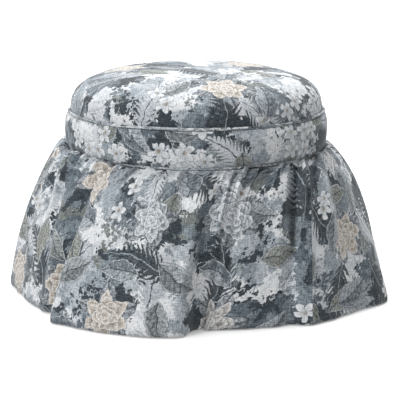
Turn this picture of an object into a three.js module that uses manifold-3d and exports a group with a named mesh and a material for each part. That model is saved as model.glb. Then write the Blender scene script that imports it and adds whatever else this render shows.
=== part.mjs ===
// A round vanity stool: a drum seat with a domed cushion, a padded band between two
// welts, and a gathered skirt that hides a four-legged hardwood frame.
// Millimetres, +Z up, the origin on the floor on the seat's axis, the front towards -Y.

import * as THREE from "three";
import { mergeVertices } from "three/addons/utils/BufferGeometryUtils.js";
import Module from "manifold-3d";

const wasm = await Module();
wasm.setup();

// Clearances and overruns
const fit = 0.3; // between pieces that touch
const overrun = 4; // how far a cutter runs past what it cuts

// Legs and their glides
const glideHeight = 5;
const glideRadius = 13;
const glideChamfer = 2;
const nailRadius = 1.6;
const nailLength = 16;
const legWidth = 42;
const legLength = 303;
const legClearance = 5; // from a leg's outer corner to the stapled cloth

// Rails, corner blocks and what bolts them together
const railHeight = 60;
const railThickness = 20;
const tenonThickness = 10;
const tenonShoulder = 5;
const blockHeight = 30;
const boltRadius = 4;
const boltInLeg = 28;
const boltTail = 13; // bare thread past the block
const nutWidth = 13;
const nutThickness = 6.5;

// Screws
const screwRadius = 2.4;
const screwHeadRadius = 4.6;
const screwHeadHeight = 3;
const screwPoint = 5; // length of its tapered end
const seatScrewLength = 46;
const seatScrewInRing = 13;
const deckScrewLength = 38;

// The drum: a ring and a deck of plywood, held apart by blocks, inside a thin wall
const drumRadius = 256;
const ringThickness = 18;
const deckThickness = 18;
const spacerHeight = 35;
const spacerDepth = 36;
const spacerWidth = 60;
const spacerInset = 23;
const spacerCount = 6;
const wallThickness = 4;
const dustCoverThickness = 1;
const dustCoverLap = 6; // on the ring all round its hole
const dustCoverClearance = 4; // to the rails

// The padded band
const clothThickness = 2;
const stapleMargin = 16; // the rim of the ring that cloth is stapled to
const paddingThickness = 13; // at the band's fullest
const paddingTop = 6.5;
const paddingBottom = 3;
const barrelShare = 3.2; // power of the band's swell: more is fuller

// The cushion
const cushionOverhang = 4.2; // past the drum's wall
const cushionHeight = 90.7;
const battingThickness = 12;
const seamTuck = 1.5; // how far the cushion's side is drawn in at its seam
const seamTuckHeight = 14;
const crownSideShare = 0.61; // power of the dome's side
const crownTopShare = 0.66; // power of its top
const crownStepShare = 1.5; // power that draws the steps close at its foot

// Welts
const weltRadius = 3.4;
const weltLipThickness = 1.6;

// The skirt, its lining and the strip that holds them up
const skirtThickness = 2.6;
const hemRadius = 400;
const hemClearance = 3; // from the floor to the hem
const puffHeight = 18; // how far the fullest gathers rise from the seam
const puffReach = 17; // how far out they roll over before they fall
const flatReachShare = 0.3; // how much of that is left where nothing puffs
const lesserFoldDepth = 10;
const skirtSeamGap = 0.3;
const liningThickness = 1.2;
const liningGap = 8; // inside the deepest fold
const liningShort = 14; // above the skirt's own hem
const stripThickness = 2;

// Facets
const roundSides = 36;
const smallSides = 8;
const glideSides = 12;
const weltSides = 8;
const crownSteps = 8;
const bandSteps = 5;
const degreesPerColumn = 3.8;
const bellRows = [0, 0.05, 0.14, 0.28, 0.47, 0.68, 0.86, 1];
const liningRows = [0.08, 0.3, 0.6, 1];

// The skirt's main folds in order round the stool: where the cloth hangs from the
// heading and where it meets the hem, in degrees from the front towards +X, how far
// the hem reaches as a share of hemRadius, and the share of the puff at the top.
const foldShares = [
  [-100, -97, 1.005, 0.8, 0],
  [-86, -84, 0.96, 0.7, 0],
  [-72, -71, 0.945, 0.65, 0],
  [-61, -60, 0.96, 0.8, 0],
  [-50, -52.5, 0.975, 0.7, 0],
  [-38, -45.5, 0.935, 0.5, 0],
  [-31, -42.3, 1.09, 0.4, 0],
  [-27, -36, 1.1, 0.4, 0],
  [-21, -28, 1.12, 0.3, 0],
  [-13, -18, 1.14, 0.25, 0],
  [-5, -7.5, 1.14, 0.2, 0],
  [4, -3.2, 1.11, 0.2, 0],
  [10, -0.8, 1, 0.15, 0],
  [14, 2.6, 0.95, 0.1, 0],
  [28, 2, 0.985, 0.1, 5.5],
  [33, 7, 0.985, 0.25, 5],
  [37, 14, 0.985, 0.35, 3],
  [42, 22, 0.995, 0.3, 1],
  [46.5, 28, 0.98, 0.1, 0],
  [50, 30, 1.005, 0.15, 0],
  [56, 33.5, 1.045, 0.35, 0],
  [62, 40, 1.03, 0.4, 0],
  [69, 49, 1.01, 0.5, 0],
  [76, 58.5, 1.015, 0.5, 0],
  [84, 69.3, 1.055, 0.45, 0],
  [92, 80, 1, 0.4, 0],
  [101, 92, 0.97, 0.5, 0],
  [110, 105, 1, 0.6, 0],
  [119, 116, 0.975, 0.8, 0],
  [131, 129, 0.97, 0.6, 0],
  [143, 141.5, 1, 0.5, 0],
  [152, 151.5, 1.06, 0.4, 0],
  [164, 164, 1.125, 0.35, 0],
  [176, 176, 1.135, 0.3, 0],
  [188, 187, 1.09, 0.3, 0],
  [196, 194, 1.005, 0.25, 0],
  [205, 204, 0.95, 0.35, 0],
  [216, 217, 0.975, 0.45, 0],
  [226, 229, 1.045, 0.6, 0],
  [236, 238, 1.02, 0.7, 0],
  [245, 247, 0.965, 0.9, 0],
  [253, 255, 0.96, 1, 0],
];
// The folds between the main ones: the heading of the fold's line at its start, its middle
// and its foot in degrees, the shares of the drop at which it starts and ends, its half
// width in degrees, and how far it stands out as a share of one depth; a hollow is negative
const lesserFolds = [
  [-97, -96, -95, -0.1, 0.6, 4, 0.7],
  [-90, -89, -87, 0.1, 1, 4.5, -0.6],
  [-82, -82, -81, -0.1, 0.9, 4, 0.7],
  [-75, -74, -74, -0.1, 0.7, 3, -0.6],
  [-69, -67, -64, -0.1, 0.6, 2.6, 0.7],
  [-63, -62, -60, -0.15, 0.45, 2.4, -0.7],
  [-57, -56, -54, -0.1, 0.95, 3.2, 0.7],
  [-50, -49, -49, 0.2, 1, 3.5, -0.4],
  [-44, -41, -40, -0.1, 0.6, 2.8, 0.5],
  [-37, -37, -38, -0.1, 0.9, 2.4, -0.4],
  [-24, -25, -26, -0.1, 0.5, 3.2, -0.4],
  [-17, -16, -15, -0.15, 0.6, 3.5, 0.4],
  [-10, -9, -8, -0.1, 0.7, 3.2, -0.6],
  [-2, -3, -5, -0.1, 0.8, 3.5, 0.4],
  [5, 4, 2, -0.1, 0.75, 2.6, -0.3],
  [21, 14.5, 11, -0.12, 1, 3.4, -1.1],
  [25, 27, 28, 0.08, 1.1, 2.4, 0.9],
  [34, 34, 33, -0.1, 0.6, 2.2, -0.4],
  [38, 38, 37, 0.05, 0.8, 2.4, 0.4],
  [48.3, 48.8, 47, -0.12, 0.68, 3.2, -1],
  [59, 59, 60, -0.1, 0.8, 2.6, 0.5],
  [64, 65, 67, -0.12, 0.5, 2.4, -0.8],
  [69, 70, 71, -0.1, 0.75, 2.6, 0.6],
  [76, 77, 78, 0.15, 1, 3.5, -0.6],
  [84, 85, 86, -0.1, 0.95, 3.6, 0.7],
  [92, 92, 93, -0.1, 0.6, 3.2, -0.6],
  [99, 99, 98, 0.1, 1, 4, 0.6],
  [107, 106, 106, -0.1, 0.8, 3.4, -0.7],
  [114, 115, 117, -0.1, 0.6, 3.2, 0.6],
  [122, 123, 123, 0.1, 1, 4, -0.6],
  [130, 129, 128, -0.1, 0.85, 3.6, 0.7],
  [138, 137, 136, -0.1, 0.6, 3.2, -0.7],
  [147, 147, 148, 0.05, 1, 3.8, 0.5],
  [156, 155, 155, -0.1, 0.7, 3.4, -0.6],
  [164, 165, 167, -0.12, 0.55, 3.2, 0.6],
  [171, 172, 173, 0, 0.9, 3.6, -0.7],
  [180, 180, 179, -0.1, 0.75, 3.6, 0.6],
  [188, 187, 186, -0.1, 0.6, 3, -0.6],
  [196, 196, 197, 0.1, 1, 4, 0.6],
  [204, 205, 206, -0.12, 0.8, 3.4, -0.8],
  [212, 212, 211, -0.1, 0.6, 3.2, 0.6],
  [220, 219, 219, 0.05, 1, 3.8, -0.5],
  [229, 229, 230, -0.1, 0.8, 3.6, 0.7],
  [237, 238, 240, -0.1, 0.6, 3.2, -0.7],
  [246, 246, 246, 0, 0.9, 4, 0.6],
  [254, 253, 252, -0.1, 0.6, 3.2, -0.6],
];
const lesserFoldRoot = 0.04; // share of the drop over which they grow from the heading
const lesserFoldPower = 0.8;
const rightSeamFold = 20; // the folds whose crests are the seams
const leftSeamFold = 38;
const foldGrowthShare = 0.65; // power with which the folds open towards the hem
const bellOuterShare = 1.3; // powers of the skirt's bell outline
const bellInnerShare = 0.65;

// Heights and radii that follow
const legTop = glideHeight + legLength;
const ringTop = legTop + ringThickness;
const deckBottom = ringTop + spacerHeight;
const deckTop = deckBottom + deckThickness;
const wallInner = drumRadius + fit;
const wallOuter = wallInner + wallThickness;
const paddingInner = wallOuter + fit;
const stapleInner = drumRadius - stapleMargin;
const legCentre = (stapleInner - legClearance) / Math.SQRT2 - legWidth / 2;
const legInside = legCentre - legWidth / 2;
const railInside = legCentre - railThickness / 2;
const railBottom = legTop - railHeight;
const blockBottom = legTop - blockHeight;
const blockReach = railHeight; // along each rail from the leg
const tenonBottom = railBottom + tenonShoulder;
const tenonTop = blockBottom - fit;
const tenonLength = (legWidth - tenonThickness) / 2 - fit;
const dustCoverRadius = railInside - dustCoverClearance;
const ringHoleRadius = dustCoverRadius - dustCoverLap;
const cushionRadius = wallOuter + cushionOverhang;
const bandTop = deckTop;
const bandBottom = legTop - fit - clothThickness;
const crownBase = deckTop + fit;
const weltLipTop = bandBottom - fit;
const lowerWeltRing = paddingInner + paddingBottom + clothThickness - weltRadius / 2;
const weltInside = lowerWeltRing - weltRadius - fit;
const weltOutside = lowerWeltRing + weltRadius + fit;
const lowerWeltZ = bandBottom - fit - weltRadius;
const headingTop = weltLipTop - weltLipThickness - fit;
const liningTop = headingTop - skirtThickness - fit;
const stripTop = liningTop - liningThickness - fit;
const skirtUnderWelt = lowerWeltZ - weltRadius - fit;

// Colours and surfaces
const printedCloth = new THREE.MeshStandardMaterial({ color: 0x8e9396, roughness: 0.95, metalness: 0 });
const liningCloth = new THREE.MeshStandardMaterial({ color: 0xd8d4cb, roughness: 0.95, metalness: 0 });
const dustCloth = new THREE.MeshStandardMaterial({ color: 0x1c1c1e, roughness: 0.95, metalness: 0 });
const foam = new THREE.MeshStandardMaterial({ color: 0xe9e1c4, roughness: 1, metalness: 0 });
const batting = new THREE.MeshStandardMaterial({ color: 0xf2f1ec, roughness: 1, metalness: 0 });
const hardwood = new THREE.MeshStandardMaterial({ color: 0xb98d5c, roughness: 0.6, metalness: 0 });
const plywood = new THREE.MeshStandardMaterial({ color: 0xc9a673, roughness: 0.7, metalness: 0 });
const cardboard = new THREE.MeshStandardMaterial({ color: 0x9a7c58, roughness: 0.9, metalness: 0 });
const zincSteel = new THREE.MeshStandardMaterial({ color: 0xb4b6b8, roughness: 0.35, metalness: 1 });
const nylon = new THREE.MeshStandardMaterial({ color: 0x2b2b2d, roughness: 0.5, metalness: 0 });

const stool = new THREE.Group();

function add(name, geometry, material) {
  const mesh = new THREE.Mesh(geometry, material);
  mesh.name = name;
  stool.add(mesh);
}

// Solids that can be cut and joined
function solidOf(geometry) {
  const bare = geometry.clone();
  bare.deleteAttribute("normal");
  bare.deleteAttribute("uv");
  const merged = mergeVertices(bare);
  return new wasm.Manifold(
    new wasm.Mesh({
      numProp: 3,
      vertProperties: merged.attributes.position.array,
      triVerts: new Uint32Array(merged.index.array),
    }),
  );
}

function geometryOf(solid) {
  const mesh = solid.getMesh();
  return new THREE.BufferGeometry()
    .setAttribute("position", new THREE.BufferAttribute(new Float32Array(mesh.vertProperties), 3))
    .setIndex(new THREE.BufferAttribute(new Uint32Array(mesh.triVerts), 1));
}

function box(low, high) {
  const size = high.clone().sub(low);
  const middle = high.clone().add(low).divideScalar(2);
  return new THREE.BoxGeometry(size.x, size.y, size.z).translate(middle.x, middle.y, middle.z);
}

// A closed outline of [radius, height] pairs turned about the Z axis
function turned(outline, sides = roundSides) {
  const points = outline.map(([radius, height]) => new THREE.Vector2(radius, height));
  return new THREE.LatheGeometry(points, sides).rotateX(Math.PI / 2);
}

function ringOutline(inner, outer, bottom, top) {
  return [[inner, bottom], [outer, bottom], [outer, top], [inner, top], [inner, bottom]];
}

function discOutline(radius, bottom, top) {
  return [[0, bottom], [radius, bottom], [radius, top], [0, top]];
}

function rod(radius, bottom, top, sides = smallSides) {
  return new THREE.CylinderGeometry(radius, radius, top - bottom, sides)
    .rotateX(Math.PI / 2)
    .translate(0, 0, (top + bottom) / 2);
}

// Places about the axis
const quarterTurns = [0, 1, 2, 3];
const cornerAngles = quarterTurns.map((turn) => Math.PI / 4 + (turn * Math.PI) / 2);
const railAngles = quarterTurns.map((turn) => (turn * Math.PI) / 2);
const spacerTurn = (2 * Math.PI) / spacerCount;
const spacerAngles = Array.from({ length: spacerCount }, (_, i) => (i + 1 / 2) * spacerTurn);

function aboutAxis(geometry, angle) {
  return geometry.clone().rotateZ(angle);
}

// A rail along +X's side of the square, and its tenons, which run into the two legs
function railBody() {
  const low = new THREE.Vector3(railInside, -legInside + fit, railBottom);
  const high = new THREE.Vector3(railInside + railThickness, legInside - fit, legTop - fit);
  return solidOf(box(low, high));
}

function railTenons(grown = 0) {
  const reach = legInside + tenonLength;
  const low = new THREE.Vector3(legCentre - tenonThickness / 2, -reach, tenonBottom).subScalar(grown);
  const high = new THREE.Vector3(legCentre + tenonThickness / 2, reach, tenonTop).addScalar(grown);
  return solidOf(box(low, high));
}

// A screw standing on its head's underside at zero, its tip up
function screwOutline(length, grown = 0) {
  return [
    [0, -screwHeadHeight - grown],
    [screwHeadRadius + grown, -screwHeadHeight - grown],
    [screwHeadRadius + grown, grown],
    [screwRadius + grown, grown],
    [screwRadius + grown, length - screwPoint],
    [0, length + grown],
  ];
}

function glide() {
  const nailTop = glideHeight + nailLength;
  return turned(
    [
      [0, 0],
      [glideRadius - glideChamfer, 0],
      [glideRadius, glideChamfer],
      [glideRadius, glideHeight - fit],
      [nailRadius, glideHeight - fit],
      [nailRadius, nailTop],
      [0, nailTop],
    ],
    glideSides,
  ).translate(legCentre, legCentre, 0);
}

// The hanger bolt lies level on the corner's diagonal at the middle of the block.
// These stand on +X's diagonal, so that a corner is one turn about the axis away.
const boltZ = blockBottom + blockHeight / 2;
const blockFace = (railInside - fit + legInside - blockReach) / Math.SQRT2;
const legCorner = legInside * Math.SQRT2;
const nutFace = blockFace - fit;

function alongX(geometry, start) {
  return geometry.rotateY(Math.PI / 2).translate(start, 0, boltZ);
}

function bolt(grown = 0) {
  const start = blockFace - boltTail;
  const length = legCorner + boltInLeg - start + grown;
  return alongX(rod(boltRadius + grown, 0, length), start);
}

function nut() {
  const acrossCorners = nutWidth / Math.cos(Math.PI / 6) / 2;
  const hexagon = solidOf(alongX(rod(acrossCorners, 0, nutThickness, 6), nutFace - nutThickness));
  return geometryOf(hexagon.subtract(solidOf(bolt(fit))));
}

function cornerBlock() {
  const outer = railInside - fit;
  const inner = legInside - fit;
  const end = legInside - blockReach;
  const outline = new THREE.Shape([
    new THREE.Vector2(outer, end),
    new THREE.Vector2(outer, inner),
    new THREE.Vector2(inner, inner),
    new THREE.Vector2(inner, outer),
    new THREE.Vector2(end, outer),
  ]);
  const plank = new THREE.ExtrudeGeometry(outline, { depth: blockHeight - fit, bevelEnabled: false });
  const block = solidOf(plank.translate(0, 0, blockBottom));
  return geometryOf(block.subtract(solidOf(aboutAxis(bolt(fit), Math.PI / 4))));
}

function leg() {
  const post = solidOf(
    box(
      new THREE.Vector3(legInside, legInside, glideHeight),
      new THREE.Vector3(legInside + legWidth, legInside + legWidth, legTop - fit),
    ),
  );
  const nailHole = solidOf(
    rod(nailRadius + fit, glideHeight - overrun, glideHeight + nailLength + fit, glideSides)
      .translate(legCentre, legCentre, 0),
  );
  const mortise = railTenons(fit);
  const otherMortise = mortise.rotate([0, 0, 90]);
  const boltHole = solidOf(aboutAxis(bolt(fit), Math.PI / 4));
  return geometryOf(post.subtract(nailHole).subtract(mortise).subtract(otherMortise).subtract(boltHole));
}

const seatScrewZ = legTop + seatScrewInRing - seatScrewLength;

function seatScrew(grown = 0) {
  return turned(screwOutline(seatScrewLength, grown), smallSides).translate(legCentre, 0, seatScrewZ);
}

function rail() {
  const counterbore = rod(screwHeadRadius + fit, railBottom - overrun, seatScrewZ + fit)
    .translate(legCentre, 0, 0);
  const whole = railBody().add(railTenons());
  return geometryOf(whole.subtract(solidOf(seatScrew(fit))).subtract(solidOf(counterbore)));
}

function legFrame() {
  quarterTurns.forEach((turn) => {
    const cornerTurn = railAngles[turn];
    const number = turn + 1;
    add("leg_" + number, aboutAxis(leg(), cornerTurn), hardwood);
    add("glide_" + number, aboutAxis(glide(), cornerTurn), nylon);
    add("rail_" + number, aboutAxis(rail(), cornerTurn), hardwood);
    add("corner_block_" + number, aboutAxis(cornerBlock(), cornerTurn), hardwood);
    add("hanger_bolt_" + number, aboutAxis(bolt(), cornerAngles[turn]), zincSteel);
    add("hanger_nut_" + number, aboutAxis(nut(), cornerAngles[turn]), zincSteel);
    add("seat_screw_" + number, aboutAxis(seatScrew(), cornerTurn), zincSteel);
  });
}

// The drum
const spacerCentre = drumRadius - spacerInset - spacerDepth / 2;

function deckScrew(grown = 0) {
  return turned(screwOutline(deckScrewLength, grown), smallSides)
    .rotateX(Math.PI)
    .translate(spacerCentre, 0, deckTop - screwHeadHeight);
}

function baseRing() {
  let ring = solidOf(turned(ringOutline(ringHoleRadius, drumRadius, legTop, ringTop - fit)));
  railAngles.forEach((angle) => {
    ring = ring.subtract(solidOf(aboutAxis(seatScrew(fit), angle)));
  });
  return geometryOf(ring);
}

function deck() {
  let board = solidOf(turned(discOutline(drumRadius, deckBottom, deckTop)));
  const sink = rod(screwHeadRadius + fit, deckTop - screwHeadHeight - fit, deckTop + overrun)
    .translate(spacerCentre, 0, 0);
  spacerAngles.forEach((angle) => {
    board = board
      .subtract(solidOf(aboutAxis(deckScrew(fit), angle)))
      .subtract(solidOf(aboutAxis(sink, angle)));
  });
  return geometryOf(board);
}

function spacer() {
  const block = box(
    new THREE.Vector3(spacerCentre - spacerDepth / 2, -spacerWidth / 2, ringTop),
    new THREE.Vector3(spacerCentre + spacerDepth / 2, spacerWidth / 2, deckBottom - fit),
  );
  return geometryOf(solidOf(block).subtract(solidOf(deckScrew(fit))));
}

function drum() {
  add("base_ring", baseRing(), plywood);
  add("seat_deck", deck(), plywood);
  spacerAngles.forEach((angle, i) => {
    add("spacer_block_" + (i + 1), aboutAxis(spacer(), angle), hardwood);
    add("deck_screw_" + (i + 1), aboutAxis(deckScrew(), angle), zincSteel);
  });
  add("drum_wall", turned(ringOutline(wallInner, wallOuter, legTop, deckTop)), cardboard);
  const dustTop = legTop - fit;
  const dustBottom = dustTop - dustCoverThickness;
  add("dust_cover", turned(discOutline(dustCoverRadius, dustBottom, dustTop)), dustCloth);
}

// The band's barrel outline from its foot to its head, a given distance off the wall's padding
function bandRadiusAt(share, offset) {
  const foot = paddingInner + paddingBottom;
  const head = paddingInner + paddingTop;
  const fullest = paddingInner + paddingThickness;
  const straight = foot + (head - foot) * share;
  const swell = 1 - Math.abs(2 * share - 1) ** barrelShare;
  return straight + (fullest - (foot + head) / 2) * swell + offset;
}

function barrel(offset, bottom, top) {
  return Array.from({ length: bandSteps + 1 }, (_, i) => {
    const share = i / bandSteps;
    return [bandRadiusAt(share, offset), bottom + (top - bottom) * share];
  });
}

function band() {
  const foot = [paddingInner, legTop];
  const padding = [foot, ...barrel(0, legTop, bandTop), [paddingInner, bandTop], foot];
  add("band_padding", turned(padding), batting);
  const inside = barrel(fit, legTop - fit, bandTop);
  const outside = barrel(fit + clothThickness, bandBottom, bandTop);
  const cover = [
    [stapleInner, bandBottom],
    ...outside,
    ...inside.reverse(),
    [stapleInner, legTop - fit],
    [stapleInner, bandBottom],
  ];
  add("band_cover", turned(cover), printedCloth);
}

// The cushion: foam, batting and cover are one dome at three insets
function domeOutline(inset) {
  return Array.from({ length: crownSteps + 1 }, (_, i) => {
    const turn = (i / crownSteps) ** crownStepShare * (Math.PI / 2);
    const rise = (cushionHeight - inset) * Math.sin(turn) ** crownTopShare;
    const drawn = seamTuck * Math.max(0, 1 - rise / seamTuckHeight) ** 2;
    const reach = (cushionRadius - inset) * Math.cos(turn) ** crownSideShare - drawn;
    return [i === crownSteps ? 0 : reach, crownBase + rise];
  });
}

function domeShell(inset, thickness) {
  return turned([...domeOutline(inset + thickness).reverse(), ...domeOutline(inset)]);
}

function cushion() {
  const battingInset = clothThickness + fit;
  const foamInset = battingInset + battingThickness + fit;
  add("crown_cover", domeShell(0, clothThickness), printedCloth);
  add("batting_wrap", domeShell(battingInset, battingThickness), batting);
  add("foam_core", turned([[0, crownBase], ...domeOutline(foamInset)]), foam);
}

// Welts
function roundSection(ring, height, from = 0, to = weltSides) {
  return Array.from({ length: to - from + 1 }, (_, i) => {
    const turn = ((from + i) / weltSides) * 2 * Math.PI;
    return [ring + weltRadius * Math.cos(turn), height + weltRadius * Math.sin(turn)];
  });
}

function welts() {
  const upperRing = cushionRadius - seamTuck / 2 + fit + weltRadius;
  add("upper_welt", turned(roundSection(upperRing, bandTop + fit + weltRadius)), printedCloth);
  // The lower welt keeps its lip, which is stapled under the ring.
  const lipBottom = weltLipTop - weltLipThickness;
  const lipEnd = lowerWeltRing - weltRadius * Math.cos(Math.PI / 4);
  const cord = roundSection(lowerWeltRing, lowerWeltZ, -3, 2);
  const lip = [[stapleInner, weltLipTop], [stapleInner, lipBottom], [lipEnd, lipBottom]];
  add("lower_welt", turned([...cord, ...lip, cord[0]]), printedCloth);
}

// The skirt
const folds = foldShares.map(([heading, hem, reachShare, puffShare, bow]) => ({
  heading: THREE.MathUtils.degToRad(heading),
  hem: THREE.MathUtils.degToRad(hem),
  bow: THREE.MathUtils.degToRad(bow),
  reach: hemRadius * reachShare,
  puff: puffHeight * puffShare,
  roll: weltOutside + puffReach * (flatReachShare + (1 - flatReachShare) * puffShare),
}));
const meanReach = folds.reduce((sum, fold) => sum + fold.reach, 0) / folds.length;
const deepestReach = Math.min(...folds.map((fold) => fold.reach));
const deepestHollow = lesserFoldDepth * Math.max(...lesserFolds.map((fold) => -fold[6]));
// Places of the columns round the skirt, counted in folds: more where two folds lie far apart
const places = folds.flatMap((fold, index) => {
  const turn = index + 1 < folds.length ? 0 : 2 * Math.PI;
  const next = folds[(index + 1) % folds.length];
  const apart = (next.heading + turn - fold.heading + Math.abs(next.hem + turn - fold.hem)) / 2;
  const steps = Math.max(1, Math.round(THREE.MathUtils.radToDeg(apart) / degreesPerColumn));
  return Array.from({ length: steps }, (_, step) => index + step / steps);
});
const columns = places.length;
const headingRows = 4; // points of a column before it hangs

// A smooth value between four neighbouring folds
function eased(before, from, to, after, share) {
  const a = 2 * from;
  const b = to - before;
  const c = 2 * before - 5 * from + 4 * to - after;
  const d = 3 * from - before - 3 * to + after;
  return (a + b * share + c * share ** 2 + d * share ** 3) / 2;
}

function foldAt(column) {
  const place = places[column];
  const index = Math.floor(place);
  const share = place - index;
  const four = [-1, 0, 1, 2].map((step) => {
    const turns = Math.floor((index + step) / folds.length) * 2 * Math.PI;
    const fold = folds[(index + step + folds.length) % folds.length];
    return { ...fold, heading: fold.heading + turns, hem: fold.hem + turns };
  });
  const value = (key) => eased(...four.map((fold) => fold[key]), share);
  return Object.fromEntries(Object.keys(folds[0]).map((key) => [key, value(key)]));
}

function bell(drop) {
  return (1 - (1 - drop) ** bellOuterShare) ** bellInnerShare;
}

function planPoint(radius, turn, height) {
  return new THREE.Vector3(radius * Math.sin(turn), -radius * Math.cos(turn), height);
}

// One column of the skirt's face, from its stapled heading down to the hem
function skirtColumn(column) {
  const fold = foldAt(column);
  const heading = [
    planPoint(stapleInner, fold.heading, headingTop),
    planPoint(weltInside, fold.heading, headingTop),
    planPoint(weltInside, fold.heading, skirtUnderWelt),
    planPoint(weltOutside, fold.heading, skirtUnderWelt),
  ];
  const rollTop = skirtUnderWelt + fold.puff;
  const hanging = bellRows.map((drop) => {
    const near = fold.roll * (1 - bell(drop));
    const far = meanReach * bell(drop) + (fold.reach - meanReach) * drop ** foldGrowthShare;
    const height = rollTop + (hemClearance - rollTop) * drop;
    const fallTurn = fold.hem + fold.bow * 4 * drop * (1 - drop);
    return planPoint(near, fold.heading, height).add(planPoint(far, fallTurn, 0));
  });
  return [...heading, ...hanging];
}

// How far the lesser folds stand out at one point of the skirt
function lesserFold(column, row) {
  const drop = bellRows[row - headingRows] ?? 0;
  const heading = THREE.MathUtils.radToDeg(foldAt(column).heading);
  const root = 1 - Math.exp(-drop / lesserFoldRoot);
  const shares = lesserFolds.map(([top, middle, foot, first, last, width, out]) => {
    const life = THREE.MathUtils.clamp((drop - first) / (last - first), 0, 1);
    const early = top * (1 - life) * (1 - 2 * life);
    const late = foot * life * (2 * life - 1);
    const away = heading - early - late - middle * 4 * life * (1 - life);
    const gap = THREE.MathUtils.euclideanModulo(away + 180, 360) - 180;
    return out * Math.exp(-((gap / width) ** 2)) * Math.sin(Math.PI * life) ** lesserFoldPower;
  });
  return lesserFoldDepth * root * shares.reduce((sum, share) => sum + share, 0);
}

// A grid of points, each moved in along the grid's own normal
function movedIn(grid, distance) {
  const count = grid.length;
  const rows = grid[0].length;
  return grid.map((line, column) =>
    line.map((point, row) => {
      const ahead = grid[(column + 1) % count][row].clone().sub(point).normalize();
      const behind = point.clone().sub(grid[(column + count - 1) % count][row]).normalize();
      const down = line[Math.min(row + 1, rows - 1)].clone().sub(line[Math.max(row - 1, 0)]);
      const level = row === rows - 1;
      const inward = ahead.add(behind).cross(down).normalize();
      if (level) {
        inward.setZ(0).normalize();
      }
      return point.clone().addScaledVector(inward, distance(column, row));
    }),
  );
}

function skirtPanel(faces, backs, first, last) {
  const picked = Array.from({ length: last - first + 1 }, (_, i) => (first + i) % columns);
  const front = picked.map((column) => faces[column].map((point) => point.clone()));
  const back = picked.map((column) => backs[column].map((point) => point.clone()));
  [front, back].forEach((side) => {
    drawBack(side[0], side[1]);
    drawBack(side[side.length - 1], side[side.length - 2]);
  });
  return gridSolid(front, back);
}

// A panel's end column moved towards its neighbour, for half of the gap at the seam
function drawBack(end, neighbour) {
  end.forEach((point, row) => {
    const step = neighbour[row].clone().sub(point);
    point.addScaledVector(step.normalize(), skirtSeamGap / 2);
  });
}

// A closed skin round two grids of points that lie one behind the other
function gridSolid(front, back) {
  const wide = front.length;
  const tall = front[0].length;
  const points = [...front.flat(), ...back.flat()];
  const at = (side, column, row) => side * wide * tall + column * tall + row;
  const index = [];
  const quad = (a, b, c, d) => index.push(a, b, c, a, c, d);
  for (let column = 0; column < wide - 1; column += 1) {
    for (let row = 0; row < tall - 1; row += 1) {
      const next = column + 1;
      quad(at(0, column, row), at(0, column, row + 1), at(0, next, row + 1), at(0, next, row));
      quad(at(1, column, row), at(1, next, row), at(1, next, row + 1), at(1, column, row + 1));
    }
  }
  const foot = tall - 1;
  for (let column = 0; column < wide - 1; column += 1) {
    const next = column + 1;
    quad(at(0, column, 0), at(0, next, 0), at(1, next, 0), at(1, column, 0));
    quad(at(0, column, foot), at(1, column, foot), at(1, next, foot), at(0, next, foot));
  }
  const last = wide - 1;
  for (let row = 0; row < tall - 1; row += 1) {
    quad(at(0, 0, row), at(1, 0, row), at(1, 0, row + 1), at(0, 0, row + 1));
    quad(at(0, last, row), at(0, last, row + 1), at(1, last, row + 1), at(1, last, row));
  }
  return new THREE.BufferGeometry().setFromPoints(points).setIndex(index);
}

function skirtAndLining() {
  const plain = Array.from({ length: columns }, (_, column) => skirtColumn(column));
  const faces = movedIn(plain, (column, row) => -lesserFold(column, row));
  const backs = movedIn(faces, () => skirtThickness);
  const rightSeam = places.indexOf(rightSeamFold);
  const leftSeam = places.indexOf(leftSeamFold);
  add("skirt_panel_back", skirtPanel(faces, backs, rightSeam, leftSeam), printedCloth);
  add("skirt_panel_front", skirtPanel(faces, backs, leftSeam, rightSeam + columns), printedCloth);

  const hangTop = skirtUnderWelt - skirtThickness * 2;
  const hangBottom = hemClearance + liningShort;
  const liningReach = deepestReach - deepestHollow - skirtThickness - liningGap;
  const lining = liningRows.map((drop) => {
    const radius = lowerWeltRing + (liningReach - lowerWeltRing) * bell(drop);
    return [radius, hangTop + (hangBottom - hangTop) * drop];
  });
  const inside = lining.map(([radius, height]) => [radius - liningThickness, height - liningThickness]);
  const turnIn = drumRadius - liningThickness;
  const liningOutline = [
    [stapleInner, liningTop - liningThickness],
    [turnIn, liningTop - liningThickness],
    [turnIn, hangTop - liningThickness],
    ...inside,
    ...lining.reverse(),
    [drumRadius, hangTop],
    [drumRadius, liningTop],
    [stapleInner, liningTop],
    [stapleInner, liningTop - liningThickness],
  ];
  add("skirt_lining", turned(liningOutline), liningCloth);
  const stripOuter = drumRadius - liningThickness * 2;
  const stripBottom = stripTop - stripThickness;
  add("tack_strip", turned(ringOutline(stapleInner, stripOuter, stripBottom, stripTop)), cardboard);
}

legFrame();
drum();
band();
cushion();
welts();
skirtAndLining();

export default stool;
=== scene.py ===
"""A round vanity stool: domed cushion, piped band and gathered skirt, in one printed cloth."""

import math

import bmesh
import bpy
import numpy as np
from bpy.props import FloatProperty, FloatVectorProperty, IntProperty, PointerProperty
from bpy.types import Operator, Panel, PropertyGroup
from mathutils import Matrix, Vector


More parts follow.
